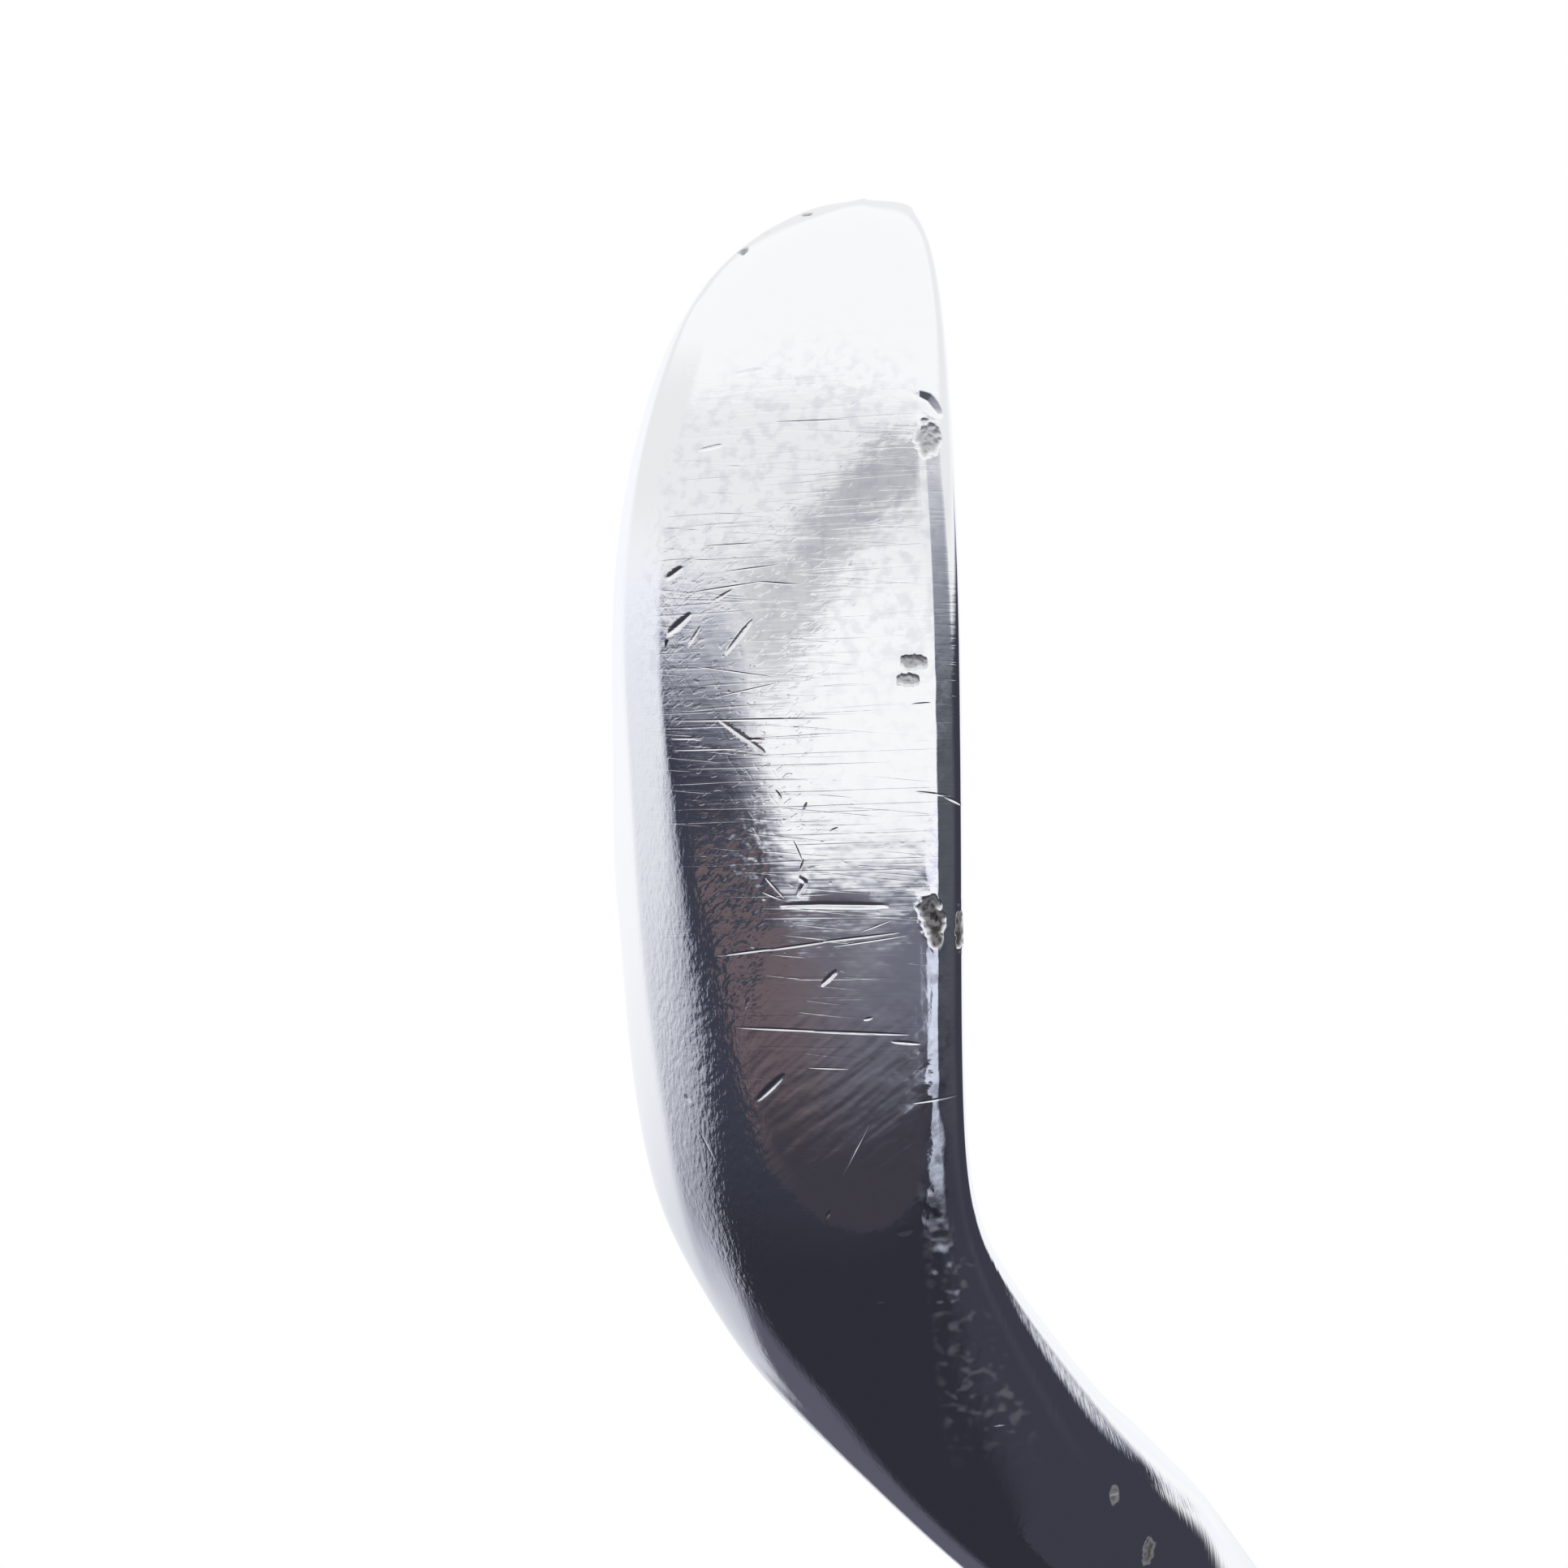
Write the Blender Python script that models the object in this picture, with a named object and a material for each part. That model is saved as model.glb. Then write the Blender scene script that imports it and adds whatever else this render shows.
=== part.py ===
"""A golf iron: a chrome-plated steel head on a stepped steel shaft with a rubber grip.

The club stands on the butt of its grip with the head up, as in a bag. The origin is the centre of
the butt, +Z runs up the shaft to the head, the toe points to +X and the face looks to -Y. The head
is drawn as it sits on the ground, with X to the rear, Y to the toe and Z up, and then turned.
"""

import math

import bmesh
import bpy
import numpy as np
from mathutils import Matrix, Vector

# Driving dimensions, in metres and degrees
CLEARANCE = 0.0003
CLUB_LENGTH = 0.940
LIE = 62.0
LOFT = 32.0

# Blade of the head, with the toe counted from the shaft's axis and heights from the ground
BLADE_LENGTH = 0.0805
TOE_HEIGHT = 0.0545
HEEL_HEIGHT = 0.0335
TOE_NOSE_HEIGHT = 0.0250
HEEL_LIFT = 0.0062
EDGE_HEIGHT = 0.0024
EDGE_ROUND = 0.0014
EDGE_BLUNT = 0.0003
SOLE_WIDTH = 0.0230
SOLE_CROWN = 0.0002
TRAIL_BAND = 0.0042
WALL_FLARE = 0.0032
TOE_SETBACK = 0.0025
BACK_THICKNESS = 0.0080
TOPLINE = 0.0062
TOPLINE_DROP = 0.0014
TOPLINE_ROUND = 0.0004

# Heights above the sole of the edges that run along the blade
RIDGE_RISE = 0.0004
SOLE_END_RISE = 0.0008
NOSE_RISE = 0.0020
TRAIL_RISE = 0.0033
FACE_EDGE_RISE = 0.0042
FACE_LOW_RISE = 0.0090
WALL_TOP_RISE = 0.0133
SHELF_RISE = 0.0208

# Neck and hosel of the head
HOSEL_TOP = 0.0700
HOSEL_WALL = 0.0018
NECK_SWELL = 0.0018
NECK_FRONT_EASE = 0.5
NECK_REAR_EASE = 0.65
CROTCH_RADIUS = 0.0090
SHAFT_SETBACK = 0.0013
BORE_DEPTH = 0.0320

# Recess in the back and score lines in the face
FACE_THICKNESS = 0.0032
RECESS_START = 0.0130
RECESS_RIM = 0.0052
RECESS_CORNER = 0.0050
TOE_RIM_LOW = 0.0160
TOE_RIM_HIGH = 0.0170
LEDGE_CUT = 0.0012
POCKET_INSET = 0.0020
POCKET_FLOOR = 0.0055
POCKET_WALL = 0.0040
POCKET_CORNER = 0.0030
SCORE_START = 0.0110
SCORE_TOE_MARGIN = 0.0195
SCORE_PITCH = 0.0034
SCORE_WIDTH = 0.0008
SCORE_DEPTH = 0.0004
FIRST_SCORE = 0.0066
SCORE_COUNT = 12

# Shaft
TIP_DIAMETER = 0.0094
TIP_WALL = 0.0006
TIP_LENGTH = 0.2300
BUTT_DIAMETER = 0.0152
BUTT_WALL = 0.0004
BARE_BUTT = 0.0290
STEP_COUNT = 16
STEP_SLOPE = 0.0015

# Ferrule and swing weight
FERRULE_LENGTH = 0.0220
FERRULE_BAND = 0.0055
FERRULE_LIP = 0.0005
WEIGHT_FLANGE = 0.0020
WEIGHT_STEM = 0.0200

# Grip and the tape under it
GRIP_LENGTH = 0.2670
GRIP_BUTT_WALL = 0.0050
GRIP_MOUTH_WALL = 0.0010
MOUTH_CHAMFER = 0.0004
GRIP_CAP = 0.0055
CAP_ROUND = 0.0020
CAP_RIM = 0.0090
CAP_STEP = 0.0012
VENT_DIAMETER = 0.0032
TAPE_THICKNESS = 0.0003
TAPE_MARGIN = 0.0120

# Guides along the blade: (share of the blade from the shaft's axis to the toe, value).
# Each value is a share of the size that it is multiplied by.
HEEL_RISE = ((-0.07, 1.0), (0.05, 0.34), (0.17, 0.145), (0.32, 0.05), (0.48, 0.0))
TOE_RISE = (
    (0.48, 0.0), (0.62, 0.008), (0.74, 0.032), (0.84, 0.08), (0.905, 0.16), (0.955, 0.31),
    (0.985, 0.54), (1.0, 0.80),
)
TRAIL_REACH = (
    (-0.07, 0.70), (0.05, 0.77), (0.18, 0.817), (0.32, 0.877), (0.48, 0.945), (0.62, 0.987),
    (0.74, 0.956), (0.84, 0.875), (0.905, 0.81), (0.955, 0.725), (0.985, 0.68), (1.0, 0.69),
)
TOP_RISE = (
    (-0.07, 0.0), (0.05, 0.02), (0.17, 0.16), (0.32, 0.36), (0.48, 0.57), (0.62, 0.76),
    (0.74, 0.91), (0.84, 1.0),
)
TOE_DROP = ((0.84, 0.0), (0.905, 0.08), (0.955, 0.32), (0.985, 0.66), (1.0, 1.0))
BAND_REACH = ((0.05, 1.19), (0.18, 1.16), (0.32, 1.20), (0.48, 1.0), (1.0, 0.95))
FLARE_REACH = ((-0.07, 0.31), (0.05, 1.2), (0.18, 0.94), (0.32, 0.58), (0.55, 0.0))
EDGE_REACH = ((0.40, 0.0), (0.62, 0.12), (0.74, 0.28), (0.84, 0.52), (0.905, 0.72), (1.0, 1.0))
ROUNDNESS = ((-0.07, 0.80), (0.03, 0.40), (0.10, 0.12), (0.18, 0.02), (0.32, 0.0))

# How the rings of control points are spaced along the hosel, round the neck and along the blade
HOSEL_SHARES = (0.35, 0.70, 0.95, 1.0)
NECK_TURNS = 4
BLADE_SHARES = (0.073, 0.14, 0.216, 0.35, 0.503, 0.637, 0.751, 0.847, 0.909, 0.957, 0.986, 1.0)
SOLE_SHARES = (0.36, 0.70)
BACK_SHARE = 0.55

# The most that a height above the sole may be of a section's height, because the toe gets low
LEVELS = {
    "ridge": (RIDGE_RISE, 0.06),
    "sole_end": (SOLE_END_RISE, 0.10),
    "nose": (NOSE_RISE, 0.18),
    "face_edge": (FACE_EDGE_RISE, 0.28),
    "trail": (TRAIL_RISE, 0.30),
    "face_low": (FACE_LOW_RISE, 0.40),
    "wall_top": (WALL_TOP_RISE, 0.55),
    "shelf": (SHELF_RISE, 0.68),
}

# The points of a ring in order round the section, and how sharp the edges on them are
RING = (
    "face_low", "face_edge", "nose", "ridge", "sole_front", "sole_rear", "sole_end", "trail",
    "wall_top", "shelf", "back", "top_back", "top_front", "face_middle",
)
CREASES = {
    "ridge": ((0.05, 0.0), (0.20, 0.75), (0.84, 0.75), (1.0, 0.05)),
    "sole_end": ((0.17, 0.0), (0.40, 0.55), (0.84, 0.55), (1.0, 0.10)),
    "trail": ((0.0, 0.40), (0.10, 0.70), (0.84, 0.70), (1.0, 0.10)),
    "wall_top": ((0.05, 0.10), (0.32, 0.35), (0.84, 0.35), (1.0, 0.10)),
    "top_back": ((0.05, 0.0), (0.32, 0.30), (0.84, 0.30), (1.0, 0.10)),
    "top_front": ((0.05, 0.0), (0.32, 0.35), (0.84, 0.35), (1.0, 0.10)),
}

# Fineness of the smoothed and the turned surfaces, and how the round profiles run
SMOOTH_LEVELS = 2
ROUND_SIDES = 24
CORNER_STEPS = 4
CORNER_LIMIT = 0.45
ROUND_PROFILE = 0.5
FERRULE_STEPS = 4
GRIP_STEPS = 4
GRIP_TAPER = 1.35
SHARP_ANGLE = 35.0

lie = math.radians(LIE)
loft = math.radians(LOFT)
tip_bore = TIP_DIAMETER - 2 * TIP_WALL
hosel_bore = TIP_DIAMETER + 2 * CLEARANCE
hosel_diameter = hosel_bore + 2 * HOSEL_WALL
neck_diameter = hosel_diameter + NECK_SWELL
hosel_end = CLUB_LENGTH - HOSEL_TOP
butt_end = GRIP_CAP + CLEARANCE
tip_end = hosel_end + BORE_DEPTH - WEIGHT_FLANGE - 2 * CLEARANCE
tape_inner = 0.5 * BUTT_DIAMETER + CLEARANCE
tape_outer = tape_inner + TAPE_THICKNESS

# Directions and points of the head, in the axes it is drawn in
hosel_up = Vector((0, -math.cos(lie), math.sin(lie)))
hosel_inner = Vector((0, math.sin(lie), math.cos(lie)))
face_up = Vector((math.sin(loft), 0, math.cos(loft)))
face_into = Vector((math.cos(loft), 0, -math.sin(loft)))
to_toe = Vector((0, 1, 0))
face_foot = Vector((0, 0, EDGE_HEIGHT))
hosel_foot = Vector((SHAFT_SETBACK, 0, 0))


def clear_scene():
    for old in list(bpy.data.objects):
        bpy.data.objects.remove(old, do_unlink=True)


def finish(name, colour, roughness, metallic):
    material = bpy.data.materials.new(name)
    material.use_nodes = True
    shader = material.node_tree.nodes["Principled BSDF"]
    shader.inputs["Base Color"].default_value = (*colour, 1)
    shader.inputs["Roughness"].default_value = roughness
    shader.inputs["Metallic"].default_value = metallic
    return material


def add_object(name, bm, material=None):
    mesh = bpy.data.meshes.new(name)
    bm.to_mesh(mesh)
    bm.free()
    made = bpy.data.objects.new(name, mesh)
    bpy.context.collection.objects.link(made)
    if material:
        mesh.materials.append(material)
        mesh.shade_smooth()
        mesh.set_sharp_from_angle(angle=math.radians(SHARP_ANGLE))
    return made


def add_cutter(name, bm):
    bm.normal_update()
    bmesh.ops.recalc_face_normals(bm, faces=bm.faces)
    cutter = add_object(name, bm)
    cutter.hide_render = True
    cutter.display_type = "WIRE"
    return cutter


def cut(body, cutter):
    modifier = body.modifiers.new("Cut " + cutter.name, "BOOLEAN")
    modifier.operation = "DIFFERENCE"
    modifier.solver = "EXACT"
    modifier.object = cutter


def along(guide, share):
    """The value of a guide of (share of the blade, value) points at one share of the blade."""
    shares, values = zip(*guide)
    return float(np.interp(share, shares, values))


def rear_of_face(height):
    """How far behind the leading edge the plane of the face is at a height."""
    return (height - EDGE_HEIGHT) * math.tan(loft)


def ring_turn(index):
    """Angle of a ring's point round the neck, from the heel side and towards the rear."""
    middle_of_sole = 0.5 * (RING.index("sole_front") + RING.index("sole_rear"))
    return (index - middle_of_sole) * 2 * math.pi / len(RING)


def top_height(share):
    """Height of the topline, which climbs from the heel and then rounds off to the toe's nose."""
    height = HEEL_HEIGHT + (TOE_HEIGHT - HEEL_HEIGHT) * along(TOP_RISE, share)
    return height + (TOE_NOSE_HEIGHT - height) * along(TOE_DROP, share)


def blade_section(share):
    """(rear, height) of each point of the blade's section, from the face round the sole and back."""
    low = HEEL_LIFT * along(HEEL_RISE, share) + TOE_NOSE_HEIGHT * along(TOE_RISE, share)
    tall = top_height(share)
    level = {name: low + min(rise, most * (tall - low)) for name, (rise, most) in LEVELS.items()}
    setback = TOE_SETBACK * along(EDGE_REACH, share)
    nose = rear_of_face(level["nose"]) + EDGE_BLUNT + setback
    sole_end = SOLE_WIDTH * along(TRAIL_REACH, share)
    sole_front, sole_rear = (nose + part * (sole_end - nose) for part in SOLE_SHARES)
    trail = sole_end + TRAIL_BAND * along(BAND_REACH, share)
    wall_slope = (level["wall_top"] - level["trail"]) * math.tan(loft)
    wall_top = trail + wall_slope + WALL_FLARE * along(FLARE_REACH, share)
    thick = BACK_THICKNESS / math.cos(loft)
    top_thick = TOPLINE / math.cos(loft)
    back = level["shelf"] + BACK_SHARE * (tall - level["shelf"])
    face_middle = 0.5 * (level["face_low"] + tall)
    points = {
        "face_low": (rear_of_face(level["face_low"]), level["face_low"]),
        "face_edge": (rear_of_face(level["face_edge"]) + 0.5 * setback, level["face_edge"]),
        "nose": (nose, level["nose"]),
        "ridge": (nose + EDGE_ROUND, level["ridge"]),
        "sole_front": (sole_front, low - SOLE_CROWN),
        "sole_rear": (sole_rear, low - SOLE_CROWN),
        "sole_end": (sole_end, level["sole_end"]),
        "trail": (trail, level["trail"]),
        "wall_top": (wall_top, level["wall_top"]),
        "shelf": (rear_of_face(level["shelf"]) + thick, level["shelf"]),
        "back": (rear_of_face(back) + 0.5 * (thick + top_thick), back),
        "top_back": (rear_of_face(tall) + top_thick, tall - TOPLINE_DROP),
        "top_front": (rear_of_face(tall) + TOPLINE_ROUND, tall),
        "face_middle": (rear_of_face(face_middle), face_middle),
    }
    return [points[name] for name in RING]


def rounded_section(share):
    """The blade's section drawn towards an oval where the blade runs into the neck."""
    flat = blade_section(share)
    blend = along(ROUNDNESS, share)
    low = min(height for rear, height in flat)
    tall = max(height for rear, height in flat)
    front = SHAFT_SETBACK - 0.5 * neck_diameter
    back = flat[RING.index("trail")][0]
    section = []
    for index, (rear, height) in enumerate(flat):
        turn = ring_turn(index)
        oval_rear = 0.5 * (front + back) + 0.5 * (back - front) * math.sin(turn)
        oval_height = 0.5 * (low + tall) - 0.5 * (tall - low) * math.cos(turn)
        section.append((rear + blend * (oval_rear - rear), height + blend * (oval_height - height)))
    return section


def cage_radius(diameter):
    """Radius of the ring of control points whose smoothed circle has the diameter."""
    return 0.5 * diameter * 3 / (2 + math.cos(2 * math.pi / len(RING)))


def neck_pivot():
    """Centre of the crotch's round, and the height up the hosel where the neck starts to turn."""
    reach = 0.5 * neck_diameter + CROTCH_RADIUS
    neck_top = (HEEL_HEIGHT + CROTCH_RADIUS - reach * math.cos(lie)) / math.sin(lie)
    return hosel_foot + neck_top * hosel_up + reach * hosel_inner, neck_top


def hosel_rings():
    """Round rings from the hosel's end down to the neck, a little wider towards the neck."""
    neck_top = neck_pivot()[1]
    wide = cage_radius(neck_diameter)
    narrow = cage_radius(hosel_diameter)
    rings = []
    for share in reversed(HOSEL_SHARES):
        centre = hosel_foot + (neck_top + share * (HOSEL_TOP - neck_top)) * hosel_up
        radius = wide + (narrow - wide) * min(1.0, share / HOSEL_SHARES[1])
        ring = []
        for index in range(len(RING)):
            turn = ring_turn(index)
            sideways = Vector((radius * math.sin(turn), 0, 0))
            ring.append(centre + sideways - radius * math.cos(turn) * hosel_inner)
        rings.append(ring)
    return rings


def neck_rings():
    """Rings that turn about the crotch while the round of the hosel becomes the blade's section."""
    pivot = neck_pivot()[0]
    radius = cage_radius(neck_diameter)
    reach = 0.5 * neck_diameter + CROTCH_RADIUS
    heel = rounded_section(pivot.y / BLADE_LENGTH)
    rings = []
    for step in range(NECK_TURNS, -1, -1):
        angle = lie * step / NECK_TURNS
        blend = math.sin(0.5 * math.pi * step / NECK_TURNS)
        outward = Vector((0, -math.sin(angle), -math.cos(angle)))
        ring = []
        for index, (rear, height) in enumerate(heel):
            turn = ring_turn(index)
            round_rear = SHAFT_SETBACK + radius * math.sin(turn)
            round_reach = reach + radius * math.cos(turn)
            blade_reach = pivot.z - height
            point = pivot + (blade_reach + blend * (round_reach - blade_reach)) * outward
            ease = NECK_FRONT_EASE if round_rear < SHAFT_SETBACK else NECK_REAR_EASE
            point.x = rear + blend ** ease * (round_rear - rear)
            ring.append(point)
        rings.append(ring)
    return rings


def blade_stations():
    heel = neck_pivot()[0].y / BLADE_LENGTH
    return [heel + (1 - heel) * share for share in BLADE_SHARES]


def head_cage():
    """Closed mesh of quads through all the rings, with the creases of the head's edges."""
    rings = hosel_rings() + neck_rings()
    stations = blade_stations()
    for share in stations:
        place = share * BLADE_LENGTH
        rings.append([Vector((rear, place, height)) for rear, height in rounded_section(share)])

    bm = bmesh.new()
    crease = bm.edges.layers.float.new("crease_edge")
    grid = [[bm.verts.new(point) for point in ring] for ring in rings]
    count = len(RING)
    for ring, following in zip(grid, grid[1:]):
        for index in range(count):
            beside = (index + 1) % count
            bm.faces.new((ring[index], ring[beside], following[beside], following[index]))

    # The hosel's end is one sharp-edged face, the toe a strip of quads across its last ring
    bm.faces.new(reversed(grid[0]))
    toe = grid[-1]
    front = RING.index("sole_front")
    rear = RING.index("sole_rear")
    for step in range(count // 2 - 1):
        across = (toe[front - step], toe[rear + step])
        above = (toe[front - step - 1], toe[(rear + step + 1) % count])
        bm.faces.new((above[0], across[0], across[1], above[1]))
    for vert, beside in zip(grid[0], grid[0][1:] + grid[0][:1]):
        bm.edges.get((vert, beside))[crease] = 1.0
    blade = grid[-len(stations):]
    for name, guide in CREASES.items():
        index = RING.index(name)
        for ring, following, share in zip(blade, blade[1:], stations):
            bm.edges.get((ring[index], following[index]))[crease] = along(guide, share)
    bmesh.ops.recalc_face_normals(bm, faces=bm.faces)
    return bm


def add_box(bm, centre, axes, sizes):
    """A box with its three edges along the axes."""
    matrix = Matrix.Identity(4)
    for column, (axis, size) in enumerate(zip(axes, sizes)):
        matrix.col[column] = (*(axis * size), 0)
    matrix.translation = centre
    bmesh.ops.create_cube(bm, size=1, matrix=matrix)


def up_the_face(rear, height):
    """Length up the face from its foot to the point of the face square to a point behind it."""
    return Vector((rear, 0, height - EDGE_HEIGHT)).dot(face_up)


def topline_at(place):
    height = top_height(place / BLADE_LENGTH)
    return up_the_face(rear_of_face(height), height)


def ledge_at(place):
    """Length up the face to the ledge on top of the rear wall."""
    section = rounded_section(place / BLADE_LENGTH)
    return up_the_face(*section[RING.index("wall_top")])


def score_lines():
    bm = bmesh.new()
    end = BLADE_LENGTH - SCORE_TOE_MARGIN
    places = [share * BLADE_LENGTH for share, rise in TOP_RISE]
    toplines = [topline_at(place) for place in places]
    for line in range(SCORE_COUNT):
        up = FIRST_SCORE + line * SCORE_PITCH
        start = max(SCORE_START, float(np.interp(up + SCORE_PITCH, toplines, places)))
        if start + SCORE_PITCH < end:
            centre = face_foot + up * face_up + 0.5 * (start + end) * to_toe
            sizes = (2 * SCORE_DEPTH, end - start, SCORE_WIDTH)
            add_box(bm, centre, (face_into, to_toe, face_up), sizes)
    return add_cutter("score_cutter", bm)


def back_recess():
    """Prism with rounded corners that leaves the face, the ledge and a rim round the back."""
    low_end = BLADE_LENGTH - TOE_RIM_LOW
    high_end = BLADE_LENGTH - TOE_RIM_HIGH
    corners = (
        (RECESS_START, ledge_at(RECESS_START) - LEDGE_CUT),
        (low_end, ledge_at(low_end) - LEDGE_CUT),
        (high_end, topline_at(high_end) - RECESS_RIM),
        (RECESS_START, topline_at(RECESS_START) - RECESS_RIM),
    )
    heel_side = corners[3][1] - corners[0][1]
    bm = bmesh.new()
    floor = face_foot + FACE_THICKNESS * face_into
    verts = [bm.verts.new(floor + up * face_up + place * to_toe) for place, up in corners]
    bm.faces.new(verts)
    bmesh.ops.bevel(
        bm, geom=verts, offset=min(RECESS_CORNER, CORNER_LIMIT * heel_side), segments=CORNER_STEPS,
        profile=ROUND_PROFILE, affect="VERTICES",
    )
    grown = bmesh.ops.extrude_face_region(bm, geom=list(bm.faces))
    moved = [item for item in grown["geom"] if isinstance(item, bmesh.types.BMVert)]
    bmesh.ops.translate(bm, vec=2 * SOLE_WIDTH * face_into, verts=moved)
    return add_cutter("recess_cutter", bm)


def wall_depth(place):
    """How far the outside of the rear wall is behind the face, square to the face."""
    rear, height = rounded_section(place / BLADE_LENGTH)[RING.index("trail")]
    return Vector((rear, 0, height - EDGE_HEIGHT)).dot(face_into)


def back_pocket():
    """Rounded trough from the recess down into the sole, between the face and the rear wall."""
    start = RECESS_START + POCKET_INSET
    end = BLADE_LENGTH - TOE_RIM_LOW - POCKET_INSET
    rise = POCKET_FLOOR - EDGE_HEIGHT
    high = max(ledge_at(start), ledge_at(end))
    near = FACE_THICKNESS
    far = min(wall_depth(start), wall_depth(end)) - POCKET_WALL
    corners = []
    for depth in (near, far):
        foot = (rise + depth * math.sin(loft)) / math.cos(loft)
        corners += [face_foot + depth * face_into + up * face_up for up in (foot, high)]
    near_low, near_high, far_low, far_high = corners
    bm = bmesh.new()
    loop = (near_low, near_high, far_high, far_low)
    bm.faces.new([bm.verts.new(point + start * to_toe) for point in loop])
    grown = bmesh.ops.extrude_face_region(bm, geom=list(bm.faces))
    moved = [item for item in grown["geom"] if isinstance(item, bmesh.types.BMVert)]
    bmesh.ops.translate(bm, vec=(end - start) * to_toe, verts=moved)
    shortest = min(edge.calc_length() for edge in bm.edges)
    bmesh.ops.bevel(
        bm, geom=list(bm.edges), offset=min(POCKET_CORNER, CORNER_LIMIT * shortest),
        segments=CORNER_STEPS, profile=ROUND_PROFILE, affect="EDGES",
    )
    return add_cutter("pocket_cutter", bm)


def turned(profile, hollow=True):
    """A turned body from (radius, height) points: round its wall, or from end to end of a pin."""
    bm = bmesh.new()
    rings = []
    for radius, height in profile:
        ring = []
        for side in range(ROUND_SIDES):
            turn = 2 * math.pi * side / ROUND_SIDES
            ring.append(bm.verts.new((radius * math.cos(turn), radius * math.sin(turn), height)))
        rings.append(ring)
    following_rings = rings[1:]
    if hollow:
        following_rings.append(rings[0])
    else:
        bm.faces.new(rings[0])
        bm.faces.new(rings[-1])
    for ring, following in zip(rings, following_rings):
        for side in range(ROUND_SIDES):
            beside = (side + 1) % ROUND_SIDES
            bm.faces.new((ring[side], ring[beside], following[beside], following[side]))
    bmesh.ops.recalc_face_normals(bm, faces=bm.faces)
    return bm


def bore():
    """Pin that cuts the hosel's bore, and stands out of the hosel as far as it goes in."""
    radius = 0.5 * hosel_bore
    profile = [(radius, hosel_end - BORE_DEPTH), (radius, hosel_end + BORE_DEPTH)]
    return add_cutter("bore_cutter", turned(profile, hollow=False))


def iron_head():
    chrome = finish("Chrome plate", (0.80, 0.81, 0.83), 0.10, 1.0)
    head = add_object("iron_head", head_cage(), chrome)
    smooth = head.modifiers.new("Smooth", "SUBSURF")
    smooth.levels = SMOOTH_LEVELS
    smooth.render_levels = SMOOTH_LEVELS
    turn = Matrix(((0, math.sin(lie), math.cos(lie)), (1, 0, 0), (0, math.cos(lie), -math.sin(lie))))
    ground = Vector((0, 0, CLUB_LENGTH)) - turn @ hosel_foot
    head.matrix_world = Matrix.Translation(ground) @ turn.to_4x4()
    for cutter in (back_recess(), back_pocket(), score_lines()):
        cutter.matrix_world = head.matrix_world
        cut(head, cutter)
    cut(head, bore())


def ferrule():
    wide_end = hosel_end - CLEARANCE
    hole = 0.5 * hosel_bore
    wide = 0.5 * hosel_diameter
    narrow = hole + FERRULE_LIP
    profile = [(hole, wide_end), (wide, wide_end)]
    for step in range(FERRULE_STEPS + 1):
        share = step / FERRULE_STEPS
        height = wide_end - FERRULE_BAND - share * (FERRULE_LENGTH - FERRULE_BAND)
        profile.append((narrow + (wide - narrow) * math.cos(0.5 * math.pi * share), height))
    profile.append((hole, wide_end - FERRULE_LENGTH))
    plastic = finish("Ferrule plastic", (0.02, 0.02, 0.022), 0.25, 0.0)
    add_object("ferrule", turned(profile), plastic)


def shaft():
    last_step = GRIP_LENGTH + BARE_BUTT
    first_step = tip_end - TIP_LENGTH
    wide = 0.5 * BUTT_DIAMETER
    narrow = 0.5 * TIP_DIAMETER
    profile = [(wide, butt_end)]
    for step in range(STEP_COUNT):
        height = last_step + (first_step - last_step) * step / (STEP_COUNT - 1)
        before = wide + (narrow - wide) * step / STEP_COUNT
        after = wide + (narrow - wide) * (step + 1) / STEP_COUNT
        profile += [(before, height - 0.5 * STEP_SLOPE), (after, height + 0.5 * STEP_SLOPE)]
    profile += [(narrow, tip_end), (0.5 * tip_bore, tip_end), (0.5 * tip_bore, first_step)]
    profile += [(wide - BUTT_WALL, last_step), (wide - BUTT_WALL, butt_end)]
    steel = finish("Shaft steel", (0.72, 0.73, 0.75), 0.16, 1.0)
    add_object("shaft", turned(profile), steel)


def tip_weight():
    stem = 0.5 * tip_bore - CLEARANCE
    flange = 0.5 * TIP_DIAMETER
    foot = tip_end + CLEARANCE
    profile = [(stem, tip_end - WEIGHT_STEM), (stem, foot), (flange, foot), (flange, foot + WEIGHT_FLANGE)]
    brass = finish("Weight brass", (0.62, 0.44, 0.18), 0.35, 1.0)
    add_object("tip_weight", turned(profile, hollow=False), brass)


def grip_tape():
    high = GRIP_LENGTH - TAPE_MARGIN
    profile = [(tape_outer, butt_end), (tape_outer, high), (tape_inner, high), (tape_inner, butt_end)]
    paper = finish("Tape paper", (0.62, 0.55, 0.42), 0.8, 0.0)
    add_object("grip_tape", turned(profile), paper)


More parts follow.
